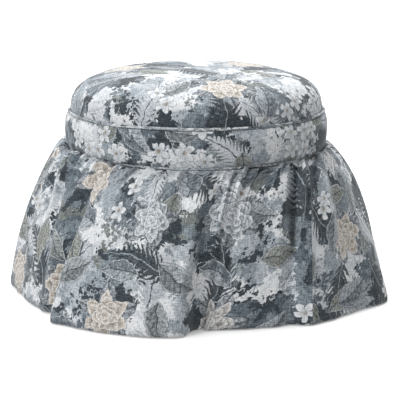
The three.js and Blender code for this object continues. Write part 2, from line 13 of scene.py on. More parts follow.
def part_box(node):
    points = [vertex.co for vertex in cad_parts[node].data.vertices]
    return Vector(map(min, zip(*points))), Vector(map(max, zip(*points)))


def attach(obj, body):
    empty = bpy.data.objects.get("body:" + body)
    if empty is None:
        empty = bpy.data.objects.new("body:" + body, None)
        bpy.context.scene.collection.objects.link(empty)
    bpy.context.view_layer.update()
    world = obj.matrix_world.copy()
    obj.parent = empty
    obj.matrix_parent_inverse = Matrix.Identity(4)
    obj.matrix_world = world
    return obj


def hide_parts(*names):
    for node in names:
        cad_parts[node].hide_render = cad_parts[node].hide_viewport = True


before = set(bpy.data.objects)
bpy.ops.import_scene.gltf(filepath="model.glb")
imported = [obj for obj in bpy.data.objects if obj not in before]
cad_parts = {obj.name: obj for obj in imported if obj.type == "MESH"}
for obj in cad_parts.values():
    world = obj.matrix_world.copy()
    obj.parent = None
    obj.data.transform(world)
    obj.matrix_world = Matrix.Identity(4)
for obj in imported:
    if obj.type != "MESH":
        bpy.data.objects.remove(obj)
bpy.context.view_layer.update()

bl_info = {
    "name": "Vanity stool",
    "version": (1, 0, 0),
    "blender": (4, 5, 0),
    "location": "View3D > Sidebar > Stool",
    "description": "Dresses a skirted vanity stool in printed cloth",
    "category": "Add Mesh",
}

# Sizes taken from the frame
CROWN_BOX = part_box("crown_cover")
BAND_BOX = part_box("band_cover")
UPPER_WELT_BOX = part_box("upper_welt")
LOWER_WELT_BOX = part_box("lower_welt")
RING_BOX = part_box("base_ring")
DUST_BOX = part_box("dust_cover")
LINING_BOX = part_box("skirt_lining")

# Room left between pieces, and the distance at which two edges become one
FIT = 0.0003
MERGE = 0.00001

# A full turn, and a point well inside the stool
TURN = 2 * math.pi
INSIDE = Vector((0, 0, 0.2))

# Where each piece is cut from the printed cloth, in metres along it and up it
CUTS = {
    "crown": (1.57, 3.71),
    "band": (-0.33, 3.11),
    "upper_piping": (2.35, 1.09),
    "lower_piping": (2.38, 0.34),
    "skirt_front": (0.62, 2.06),
    "skirt_back": (2.96, 3.61),
}

# What the chance values of each piece are drawn from
SEEDS = {
    "crown": 11,
    "band": 23,
    "upper_piping": 3,
    "lower_piping": 4,
    "gathers": 5,
    "hem": 31,
    "lining": 41,
    "staples": 51,
}

# The spreads of foliage in the print's ground: the shift and the scale of the noise that
# each is drawn from, and the level over which it shows
MASSES = {
    "pale": ((5.2, 0.3), 15, 0.56),
    "mist": ((0.4, 6.3), 19, 0.5),
    "far": ((3.1, 1.4), 9.5, 0.5),
    "stone": ((1.7, 7.9), 21, 0.53),
    "moss": ((6.1, 5.2), 12, 0.61),
    "ink": ((8.3, 2.6), 17, 0.54),
    "near": ((0.0, 0.0), 9, 0.49),
}

# The skirt's main folds in order round the stool: where the cloth hangs from the heading
# and where it meets the hem, in degrees from the front towards +X, how far the hem reaches
# as a share of the skirt's hem radius, the share of the puff at the top, and how far the
# line of fall bows sideways on its way, in degrees.
FOLD_SHARES = np.array((
    (-100, -97, 1.005, 0.8, 0),
    (-86, -84, 0.96, 0.7, 0),
    (-72, -71, 0.945, 0.65, 0),
    (-61, -60, 0.96, 0.8, 0),
    (-50, -52.5, 0.975, 0.7, 0),
    (-38, -45.5, 0.935, 0.5, 0),
    (-31, -42.3, 1.09, 0.4, 0),
    (-27, -36, 1.1, 0.4, 0),
    (-21, -28, 1.12, 0.3, 0),
    (-13, -18, 1.14, 0.25, 0),
    (-5, -7.5, 1.14, 0.2, 0),
    (4, -3.2, 1.11, 0.2, 0),
    (10, -0.8, 1.0, 0.15, 0),
    (14, 2.6, 0.95, 0.1, 0),
    (28, 2, 0.985, 0.1, 5.5),
    (33, 7, 0.985, 0.25, 5),
    (37, 14, 0.985, 0.35, 3),
    (42, 22, 0.995, 0.3, 1),
    (46.5, 28, 0.98, 0.1, 0),
    (50, 30, 1.005, 0.15, 0),
    (56, 33.5, 1.045, 0.35, 0),
    (62, 40, 1.03, 0.4, 0),
    (69, 49, 1.01, 0.5, 0),
    (76, 58.5, 1.015, 0.5, 0),
    (84, 69.3, 1.055, 0.45, 0),
    (92, 80, 1.0, 0.4, 0),
    (101, 92, 0.97, 0.5, 0),
    (110, 105, 1.0, 0.6, 0),
    (119, 116, 0.975, 0.8, 0),
    (131, 129, 0.97, 0.6, 0),
    (143, 141.5, 1.0, 0.5, 0),
    (152, 151.5, 1.06, 0.4, 0),
    (164, 164, 1.125, 0.35, 0),
    (176, 176, 1.135, 0.3, 0),
    (188, 187, 1.09, 0.3, 0),
    (196, 194, 1.005, 0.25, 0),
    (205, 204, 0.95, 0.35, 0),
    (216, 217, 0.975, 0.45, 0),
    (226, 229, 1.045, 0.6, 0),
    (236, 238, 1.02, 0.7, 0),
    (245, 247, 0.965, 0.9, 0),
    (253, 255, 0.96, 1.0, 0),
))

# The folds between the main ones: the heading angle of the fold's line at its start, its
# middle and its foot, the shares of the drop at which it starts and ends, its half width
# in degrees, and how far it stands out, as a share of one depth; a hollow is negative.
LESSER_FOLDS = np.array((
    (-97, -96, -95, -0.1, 0.6, 4, 0.7),
    (-90, -89, -87, 0.1, 1, 4.5, -0.6),
    (-82, -82, -81, -0.1, 0.9, 4, 0.7),
    (-75, -74, -74, -0.1, 0.7, 3, -0.6),
    (-69, -67, -64, -0.1, 0.6, 2.6, 0.7),
    (-63, -62, -60, -0.15, 0.45, 2.4, -0.7),
    (-57, -56, -54, -0.1, 0.95, 3.2, 0.7),
    (-50, -49, -49, 0.2, 1, 3.5, -0.4),
    (-44, -41, -40, -0.1, 0.6, 2.8, 0.5),
    (-37, -37, -38, -0.1, 0.9, 2.4, -0.4),
    (-24, -25, -26, -0.1, 0.5, 3.2, -0.4),
    (-17, -16, -15, -0.15, 0.6, 3.5, 0.4),
    (-10, -9, -8, -0.1, 0.7, 3.2, -0.6),
    (-2, -3, -5, -0.1, 0.8, 3.5, 0.4),
    (5, 4, 2, -0.1, 0.75, 2.6, -0.3),
    (21, 14.5, 11, -0.12, 1, 3.4, -1.1),
    (25, 27, 28, 0.08, 1.1, 2.4, 0.9),
    (34, 34, 33, -0.1, 0.6, 2.2, -0.4),
    (38, 38, 37, 0.05, 0.8, 2.4, 0.4),
    (48.3, 48.8, 47, -0.12, 0.68, 3.2, -1),
    (59, 59, 60, -0.1, 0.8, 2.6, 0.5),
    (64, 65, 67, -0.12, 0.5, 2.4, -0.8),
    (69, 70, 71, -0.1, 0.75, 2.6, 0.6),
    (76, 77, 78, 0.15, 1, 3.5, -0.6),
    (84, 85, 86, -0.1, 0.95, 3.6, 0.7),
    (92, 92, 93, -0.1, 0.6, 3.2, -0.6),
    (99, 99, 98, 0.1, 1, 4, 0.6),
    (107, 106, 106, -0.1, 0.8, 3.4, -0.7),
    (114, 115, 117, -0.1, 0.6, 3.2, 0.6),
    (122, 123, 123, 0.1, 1, 4, -0.6),
    (130, 129, 128, -0.1, 0.85, 3.6, 0.7),
    (138, 137, 136, -0.1, 0.6, 3.2, -0.7),
    (147, 147, 148, 0.05, 1, 3.8, 0.5),
    (156, 155, 155, -0.1, 0.7, 3.4, -0.6),
    (164, 165, 167, -0.12, 0.55, 3.2, 0.6),
    (171, 172, 173, 0, 0.9, 3.6, -0.7),
    (180, 180, 179, -0.1, 0.75, 3.6, 0.6),
    (188, 187, 186, -0.1, 0.6, 3, -0.6),
    (196, 196, 197, 0.1, 1, 4, 0.6),
    (204, 205, 206, -0.12, 0.8, 3.4, -0.8),
    (212, 212, 211, -0.1, 0.6, 3.2, 0.6),
    (220, 219, 219, 0.05, 1, 3.8, -0.5),
    (229, 229, 230, -0.1, 0.8, 3.6, 0.7),
    (237, 238, 240, -0.1, 0.6, 3.2, -0.7),
    (246, 246, 246, 0, 0.9, 4, 0.6),
    (254, 253, 252, -0.1, 0.6, 3.2, -0.6),
))

# Narrow creases, in the same columns as the folds between the main ones
CREASES = np.array((
    (-66, -65, -63, -0.12, 0.3, 1.2, -0.4),
    (-62, -61.5, -60, -0.12, 0.4, 1.4, -1.1),
    (-57.5, -57, -56, -0.12, 0.35, 1.4, 0.6),
    (-54, -53.5, -52, -0.12, 0.3, 1, -0.8),
    (-48, -48, -47.5, -0.12, 0.22, 1, -0.5),
    (-43.8, -43.5, -43, -0.12, 0.3, 1, -0.8),
    (-39.4, -39, -38.5, -0.12, 0.2, 0.9, -0.6),
    (-34, -34.5, -35, -0.12, 0.25, 1, -0.4),
    (-30.5, -30, -29.5, -0.12, 0.24, 0.9, -0.6),
    (-20, -20, -21, -0.12, 0.2, 1.2, -0.3),
    (-6, -6, -6.5, -0.12, 0.22, 1.2, -0.4),
    (9, 9, 9, -0.12, 0.2, 1, -0.5),
    (20.8, 22, 23.6, -0.12, 0.36, 1.3, -1.2),
    (31, 31, 31, -0.12, 0.18, 1, -0.5),
    (39.8, 39.6, 39.4, -0.12, 0.16, 0.8, -0.7),
    (42, 42, 42, -0.12, 0.18, 0.8, -0.7),
    (49.5, 49.8, 50, -0.14, 0.5, 1.4, 0.7),
    (52.8, 52.5, 52.2, -0.12, 0.5, 0.9, -1.3),
    (56.5, 56.5, 57, -0.12, 0.35, 1.6, 0.6),
    (60.5, 61, 61.5, -0.12, 0.28, 1, -0.9),
    (65.5, 65.5, 66, -0.12, 0.24, 1, -0.6),
    (73, 73, 74, -0.12, 0.25, 1.2, 0.4),
    (88, 88, 88, -0.12, 0.3, 1.4, -0.4),
    (118, 118, 117, -0.12, 0.3, 1.4, -0.5),
    (144, 144, 145, -0.12, 0.3, 1.4, -0.4),
    (167, 167, 168, -0.12, 0.35, 1.5, -0.5),
    (192, 192, 191, -0.12, 0.3, 1.4, -0.4),
    (217, 217, 216, -0.12, 0.3, 1.4, -0.5),
    (241, 242, 243, -0.12, 0.3, 1.4, -0.4),
))

# Deep pockets, in the same columns, and one more: the heading angle that each is pushed in
# along
POCKETS = np.array((
    (46.8, 46.9, 47.2, -0.05, 0.66, 2.2, 4, 0),
    (-62.5, -60, -57, -0.05, 0.4, 1.6, 1.4, -40),
))

# How the folds and creases grow out of the heading, as shares of the drop, and how round
# each one's rise and fall is
LESSER_FOLD_ROOT = 0.04
CREASE_ROOT = 0.012
LESSER_FOLD_POWER = 0.8

# Where two widths of cloth are sewn together, counted in folds from the table's first
RIGHT_SEAM_FOLD = 20
LEFT_SEAM_FOLD = 38

# The skirt's section, in metres: seam under the welt, puff at the top and sweep to the hem
WELT_OUTSIDE = 0.2676
SEAM_HEIGHT = 0.2983
SEAM_INSET = 0.0006
TUCK_UNDER_WELT = 0.0058
PUFF_HEIGHT = 0.018
PUFF_REACH = 0.017
PUFF_LIMITS = (0.05, 1.1)
FLAT_REACH_SHARE = 0.3
HEM_RADIUS = 0.4
HEM_CLEARANCE = 0.003
HEM_LOWEST_SHARE = 0.7
BELL_INNER_POWER = 1.3
BELL_OUTER_POWER = 0.65
FOLD_GROWTH_POWER = 0.65
FOLD_PULL = 0.5

# The skirt's grid, and the row from the hem along which a panel's width is measured
SKIRT_COLUMNS = 760
PUFF_ROWS = 10
DROP_ROWS = 46
DROP_CROWDING = 1.35
WIDTH_ROW = -12

# The small gathers: how uneven their widths are, their shares of the depth, how narrow
# and how lopsided they are, how soon they stand out, and how far down they last
GATHER_SPREAD = 0.75
GATHER_LEAST = 0.2
GATHER_MORE = 0.95
GATHER_LOT_POWER = 1.4
GATHER_NARROWNESS = (0.5, 1.0)
GATHER_LEAN = (0.6, 1.6)
GATHER_RISE = 0.006
GATHER_LASTS = (0.024, 0.055)
GATHER_LASTS_MORE = 0.07
GATHER_FADE_POWER = 1.3

# The skirt's seams and hem: the pull of a seam, waves at the hem, the step of the
# turned-up cloth, the dent of its stitching, each stitch's share of its pitch, and how far
# from the seams the row of stitches starts
SEAM_PINCH = 0.0035
HEM_WAVE = 0.0022
HEM_STEP = 0.0007
HEM_STEP_WIDTH = 0.0015
STITCH_DENT = 0.0009
STITCH_DENT_WIDTH = 0.0011
STITCH_SHARE = 0.72
STITCHES_START = 0.004

# The band's section, in metres, and its grid
PADDING_INNER = 0.2606
PADDING_FOOT = 0.003
PADDING_HEAD = 0.0065
PADDING_FULLEST = 0.013
COVER_OVER_PADDING = 0.0025
BARREL_POWER = 3.2
BAND_FOOT = 0.3044
BAND_ROWS = 31
BAND_COLUMNS = 360
BAND_SEAM = 0.0022

# The crown's section and grid
CROWN_SIDE_POWER = 0.61
CROWN_TOP_POWER = 0.66
CROWN_TUCK = 0.0015
CROWN_TUCK_HEIGHT = 0.014
CROWN_ROWS = 49
CROWN_UNDER_ROWS = 6
CROWN_COLUMNS = 320

# The puckers: their roundness, the share of their height that lies under the plain cloth,
# how uneven their widths are and how far they run into the crown and the band
PUCKER_POWER = 0.8
PUCKER_LEVEL = 0.6
CROWN_PUCKER_SPREAD = 0.55
CROWN_PUCKER_REACH = (0.006, 0.02)
BAND_PUCKER_SPREAD = 0.5
BAND_PUCKER_REACH = 0.011

# How far the padding wavers and the cloth over it ripples
CROWN_WAVER = 0.0014
CROWN_RIPPLE = 0.0005
BAND_WAVER = 0.0011
BAND_RIPPLE = 0.0004

# The welts' grid, how far they stay inside the frame's, waver and wrinkle, and the slant
# that their strip is cut on
WELT_ROWS = 17
WELT_COLUMNS = 540
WELT_INSET = 0.0002
WELT_WAVER = 0.00035
WELT_WRINKLE = 0.00014
BIAS = 0.71

# The lining and the dust cloth under it
LINING_ROWS = 34
LINING_COLUMNS = 480
LINING_THICKNESS = 0.0009
LINING_UNDER_TOP = 0.0082
LINING_OUT_OF_RING = 0.004
LINING_IN_FROM_FOLDS = 0.006
LINING_FOLD = 0.005
LINING_RIPPLE = 0.0012
DUST_ROWS = 22
DUST_COLUMNS = 160
DUST_THICKNESS = 0.0006
DUST_SAG = 0.0022
DUST_SAG_RADIUS = 0.118
STAPLES = 28
STAPLE_FROM_EDGE = 0.0028
STAPLE_SIZE = (0.0105, 0.0013, 0.0007)

# The camera that the photograph was taken with
PICTURE_PIXELS = 400
PICTURE_FOCAL_PIXELS = 2405.3
PICTURE_AIM_ACROSS = 196.3
PICTURE_AIM_DOWN = 193.9
CAMERA_DISTANCE = 5.0
CAMERA_HEIGHT = 1.1769
CAMERA_AIM_HEIGHT = 0.2
SENSOR_WIDTH = 36

# The studio's even light, and its suns: where each stands, its strength and its spread
ROOM_LIGHT = 0.52
SUNS = {
    "over_back": ((0, 0.8, 1), 3.8, 55),
    "left_side": ((-1, -0.15, 0.45), 0.15, 40),
    "left_front": ((-1.05, -0.9, 0.75), 1.55, 24),
}


def tone(red, green, blue):
    """A colour given as 0 to 255 on a screen, made linear for Blender."""
    share = np.array((red, green, blue)) / 255
    linear = np.where(share <= 0.04045, share / 12.92, ((share + 0.055) / 1.055) ** 2.4)
    return tuple(float(part) for part in linear)


def colour_choice(name, description, default):
    """A colour that a user may change."""
    return FloatVectorProperty(
        name=name,
        description=description,
        subtype="COLOR",
        size=3,
        min=0,
        max=1,
        default=tone(*default),
    )


def length_choice(name, description, default):
    """A length that a user may change."""
    return FloatProperty(
        name=name,
        description=description,
        default=default,
        min=0.0,
        unit="LENGTH",
    )


def count_choice(name, description, default):
    """A number of gathers or puckers that a user may change."""
    return IntProperty(name=name, description=description, default=default, min=12)


class StoolSizes(PropertyGroup):
    """Sizes of the stool's cloth and sewing."""

    cloth_thickness: length_choice("Cloth thickness", "Thickness of the printed cloth", 0.0012)
    gathers: count_choice("Gathers", "Small gathers round the skirt's heading", 82)
    gather_depth: length_choice(
        "Gather depth", "How far a gather stands out of the skirt's heading", 0.016
    )
    fold_depth: length_choice(
        "Fold depth", "How far the deepest folds between the main ones stand out", 0.01
    )
    hem_depth: length_choice("Hem depth", "Height of the hem's stitching over its edge", 0.0095)
    stitch_pitch: length_choice("Stitch pitch", "Distance from one stitch to the next", 0.0042)
    puckers: count_choice("Puckers", "Puckers of the crown and band round each welt", 96)
    pucker_depth: length_choice("Pucker depth", "How deep the puckers at the welts are", 0.0008)


class StoolColours(PropertyGroup):
    """Colours of the stool's cloths, thread, wood and fittings."""

    ink: colour_choice("Ink", "Darkest blue grey of the print", (58, 66, 72))
    slate: colour_choice("Slate", "Dark blue grey of the near foliage", (95, 105, 113))
    stone: colour_choice("Stone", "Middle grey of the near foliage", (124, 134, 141))
    mist: colour_choice("Mist", "Light blue grey of the far foliage", (149, 158, 165))
    silver: colour_choice("Silver", "Pale grey of the far foliage", (175, 182, 188))
    pale: colour_choice("Pale", "Palest grey of the print", (202, 206, 211))
    white: colour_choice("White", "White ground of the print", (220, 222, 224))
    blush: colour_choice("Blush", "Warm tone of the blooms", (214, 207, 199))
    taupe: colour_choice("Taupe", "Shaded tone of the blooms", (158, 151, 142))
    moss: colour_choice("Moss", "Green grey in the leaves", (140, 141, 129))
    thread: colour_choice("Thread", "Sewing thread", (150, 156, 160))
    lining: colour_choice("Lining", "Lining cloth of the skirt", (222, 216, 203))
    dust_cloth: colour_choice("Dust cloth", "Cloth under the seat", (38, 38, 40))
    wood_pale: colour_choice("Pale wood", "Light grain of the frame's wood", (206, 178, 138))
    wood_dark: colour_choice("Dark wood", "Dark grain of the frame's wood", (156, 118, 78))
    steel: colour_choice("Steel", "Zinc plated steel", (190, 192, 194))
    nylon: colour_choice("Nylon", "Glides under the legs", (52, 50, 48))
    board: colour_choice("Board", "Cardboard of drum and strip", (158, 132, 98))


PRINT_TONES = "ink", "slate", "stone", "mist", "silver", "pale", "white", "blush", "taupe", "moss"


def sizes():
    """The sizes that the user has set."""
    return bpy.context.scene.stool_sizes


def shade_of(name):
    """One of the colours that the user has set, as plain numbers."""
    return tuple(getattr(bpy.context.scene.stool_colours, name))


def scaled_shade(shade, factor, lift=0.0):
    """A colour made darker or paler."""
    return tuple(min(1.0, part * factor + lift) for part in shade)


# Materials

def wire_operator(operation, swapped=False):
    """One of Python's operators between a wire and a wire or number, as a Math node."""

    def apply(self, other):
        pair = (other, self) if swapped else (self, other)
        return self.paint.math(operation, *pair)

    return apply


class Wire:
    """A value in a material; arithmetic on it adds Math nodes."""

    __add__ = wire_operator("ADD")
    __radd__ = wire_operator("ADD", swapped=True)
    __sub__ = wire_operator("SUBTRACT")
    __rsub__ = wire_operator("SUBTRACT", swapped=True)
    __mul__ = wire_operator("MULTIPLY")
    __rmul__ = wire_operator("MULTIPLY", swapped=True)
    __truediv__ = wire_operator("DIVIDE")
    __rtruediv__ = wire_operator("DIVIDE", swapped=True)
    __pow__ = wire_operator("POWER")
    __rpow__ = wire_operator("POWER", swapped=True)
    __gt__ = wire_operator("GREATER_THAN")
    __lt__ = wire_operator("LESS_THAN")

    def __init__(self, paint, socket):
        self.paint = paint
        self.socket = socket

    def __abs__(self):
        return self.paint.math("ABSOLUTE", self)


class Paint:
    """A material being made; each method adds nodes to it."""

    def __init__(self, name):
        self.material = bpy.data.materials.new(name)
        self.material.use_nodes = True
        self.tree = self.material.node_tree
        self.tree.nodes.clear()

    def node(self, kind, settings=None, values=None):
        """Adds one node: its settings first, then the values or links of its sockets."""
        made = self.tree.nodes.new(kind)
        for key, value in (settings or {}).items():
            if key == "stops":
                self.lay_stops(made.color_ramp, value)
            else:
                setattr(made, key, value)
        for key, value in (values or {}).items():
            if isinstance(value, Wire):
                self.tree.links.new(value.socket, made.inputs[key])
            else:
                made.inputs[key].default_value = value
        return made

    def lay_stops(self, ramp, stops):
        """Gives a colour ramp its stops, from (place, colour) pairs."""
        while len(ramp.elements) < len(stops):
            ramp.elements.new(1)
        for element, (place, shade) in zip(ramp.elements, stops):
            element.position = place
            element.color = (*shade, 1)

    def wire(self, made, output=0):
        """The wire from one of a node's outputs."""
        return Wire(self, made.outputs[output])

    def math(self, operation, *values, clamp=False):
        settings = {"operation": operation, "use_clamp": clamp}
        return self.wire(self.node("ShaderNodeMath", settings, dict(enumerate(values))))

    def vector_math(self, operation, *values):
        settings = {"operation": operation}
        return self.wire(self.node("ShaderNodeVectorMath", settings, dict(enumerate(values))))

    def stretched(self, vector, factors):
        return self.vector_math("MULTIPLY", vector, factors)

    def parts(self, vector):
        made = self.node("ShaderNodeSeparateXYZ", None, {0: vector})
        return [self.wire(made, i) for i in range(3)]

    def polar(self, x, y):
        """Distance from the middle, and bearing."""
        return self.math("SQRT", x * x + y * y), self.math("ARCTAN2", y, x)

    def cloth(self):
        """The piece's own UV map, in metres of flat cloth."""
        return self.wire(self.node("ShaderNodeUVMap", {"uv_map": "cloth"}))

    def place(self):
        """The place in the object, in metres."""
        return self.wire(self.node("ShaderNodeTexCoord"), "Object")

    def mix(self, factor, below, above, blend="MIX"):
        """One colour laid over another, at a factor from 0 to 1."""
        settings = {"data_type": "RGBA", "blend_type": blend}
        values = {0: factor, 6: self.shade(below), 7: self.shade(above)}
        return self.wire(self.node("ShaderNodeMix", settings, values), 2)

    def shade(self, value):
        return value if isinstance(value, Wire) else (*value, 1)

    def noise(self, vector, scale, detail=2.0, rough=0.5, distorted=0.0, flat=False, output=0):
        """A noise through space, or a flat one over the cloth."""
        values = {"Vector": vector, "Scale": scale, "Detail": detail}
        values.update({"Roughness": rough, "Distortion": distorted})
        settings = {"noise_dimensions": "2D" if flat else "3D"}
        return self.wire(self.node("ShaderNodeTexNoise", settings, values), output)

    def cells(self, vector, scale, wander, flat=False):
        """A pattern of cells, and the three lots that each of them draws."""
        values = {"Vector": vector, "Scale": scale, "Randomness": wander}
        settings = {"voronoi_dimensions": "2D" if flat else "3D"}
        made = self.node("ShaderNodeTexVoronoi", settings, values)
        lots = self.node("ShaderNodeSeparateColor", None, {0: self.wire(made, "Color")})
        return made, [self.wire(lots, i) for i in range(3)]

    def ramp(self, factor, stops):
        return self.wire(self.node("ShaderNodeValToRGB", {"stops": stops}, {0: factor}))

    def inside(self, depth, softness):
        """1 where depth is over zero and 0 where it is under, with an edge as soft as given."""
        return self.math("MULTIPLY_ADD", depth, 1 / softness, 0.5, clamp=True)

    def clamped(self, value):
        return self.math("ADD", value, 0, clamp=True)

    def finish(self, base, roughness, bump=None, distance=0.0005, strength=1.0, **fixed):
        """Closes the material with a Principled shader and its output."""
        values = {"Base Color": self.shade(base), "Roughness": roughness}
        values.update(fixed)
        if bump is not None:
            heights = {"Height": bump, "Distance": distance, "Strength": strength}
            values["Normal"] = self.wire(self.node("ShaderNodeBump", None, heights))
        shader = self.node("ShaderNodeBsdfPrincipled", None, values)
        self.node("ShaderNodeOutputMaterial", None, {0: self.wire(shader)})
        return self.material


# The printed cloth

class Motifs:
    """One scattering of motifs: each has its own middle, turn and lots, drawn from a cell."""

    def __init__(self, paint, cloth, size, wander, shift):
        spread = paint.vector_math("MULTIPLY_ADD", cloth, (1 / size, 1 / size, 0), (*shift, 0))
        cell, self.lots = paint.cells(spread, 1.0, wander, flat=True)
        self.paint = paint
        self.size = size
        self.shift = shift
        self.centre = paint.wire(cell, "Position")
        local = paint.vector_math("SUBTRACT", spread, self.centre)
        values = {"Vector": local, "Angle": self.lots[0] * TURN}
        turned = paint.node("ShaderNodeVectorRotate", {"rotation_type": "Z_AXIS"}, values)
        self.x, self.y, _ = paint.parts(paint.stretched(paint.wire(turned), (size, size, 0)))

    def middle(self):
        """The motif's middle in the cloth's metres."""
        back = tuple(-part * self.size for part in self.shift)
        grown = (self.size, self.size, 0)
        return self.paint.vector_math("MULTIPLY_ADD", self.centre, grown, (*back, 0))


def almond(x, y, length, width, lean):
    """How deep a point lies inside a leaf that is long in x, in metres."""
    share = x * (2 / length)
    body = (1 - share * share) * (1 - share * lean)
    return body * (width / 2) - abs(y)


def petals(distance, bearing, count, radius, notch, turn=0.0):
    """How deep a point lies inside a ring of round petals, in metres."""
    wave = abs(distance.paint.math("COSINE", bearing * (count / 2) + turn))
    return (wave * (1 - notch) + notch) * radius - distance


def pointed_leaves(distance, bearing, count, radius, notch, turn):
    """How deep a point lies inside a ring of broad pointed leaves, in metres."""
    tip = distance.paint.math("PINGPONG", bearing * (count / TURN) + turn, 0.5) * 2
    return (tip ** 0.62 * (1 - notch) + notch) * radius - distance


# A bloom's rings from outside in: their form, how many petals, the ring's share of the
# bloom's radius, how deep the notches are and how the ring is turned
BLOOM_RINGS = (
    (pointed_leaves, 6, 1.22, 0.5, 0.9),
    (pointed_leaves, 5, 0.98, 0.55, 0.2),
    (petals, 5, 0.72, 0.66, 0.7),
    (petals, 4, 0.5, 0.66, 2.6),
    (petals, 3, 0.27, 0.66, 0.3),
)


def frond(paint, motif, length, width, pitch, bend=3.2, taper=0.45, slant=0.85):
    """How deep a point lies inside a curved frond of slanting leaflets, and its stem."""
    side = abs(motif.y - motif.x * motif.x * bend)
    share = motif.x * (2 / length)
    reach = (1 - share * share) * (1 - share * taper) * (width / 2)
    along = (motif.x - side * slant) / pitch
    part = abs(paint.math("FRACT", along) - 0.5) * pitch
    fullness = 1 - side / paint.math("MAXIMUM", reach, 0.001)
    leaflet = fullness * (pitch * 0.62) + pitch * 0.05 - part
    leaflet = paint.math("MINIMUM", leaflet, reach - side)
    stem = paint.math("MINIMUM", 0.0011 - side, (1 - share * share) * 0.01)
    return leaflet, stem


def swayed(paint, cloth, scale, detail, reach):
    """The cloth's map pushed about by a noise, so that shapes drawn on it turn ragged."""
    drift = paint.noise(cloth, scale, detail, flat=True, output=1)
    back = paint.vector_math("SUBTRACT", cloth, (reach / 2, reach / 2, 0))
    return paint.vector_math("MULTIPLY_ADD", drift, (reach, reach, 0), back)


def leaf_edge(paint, cloth, pitch, pointed, scattered=0.05):
    """How far the outline of foliage is moved by leaves of one size."""
    cell, lots = paint.cells(cloth, 1 / pitch, 0.95, flat=True)
    return (0.42 - paint.wire(cell, "Distance")) * pointed + (lots[0] - 0.5) * scattered


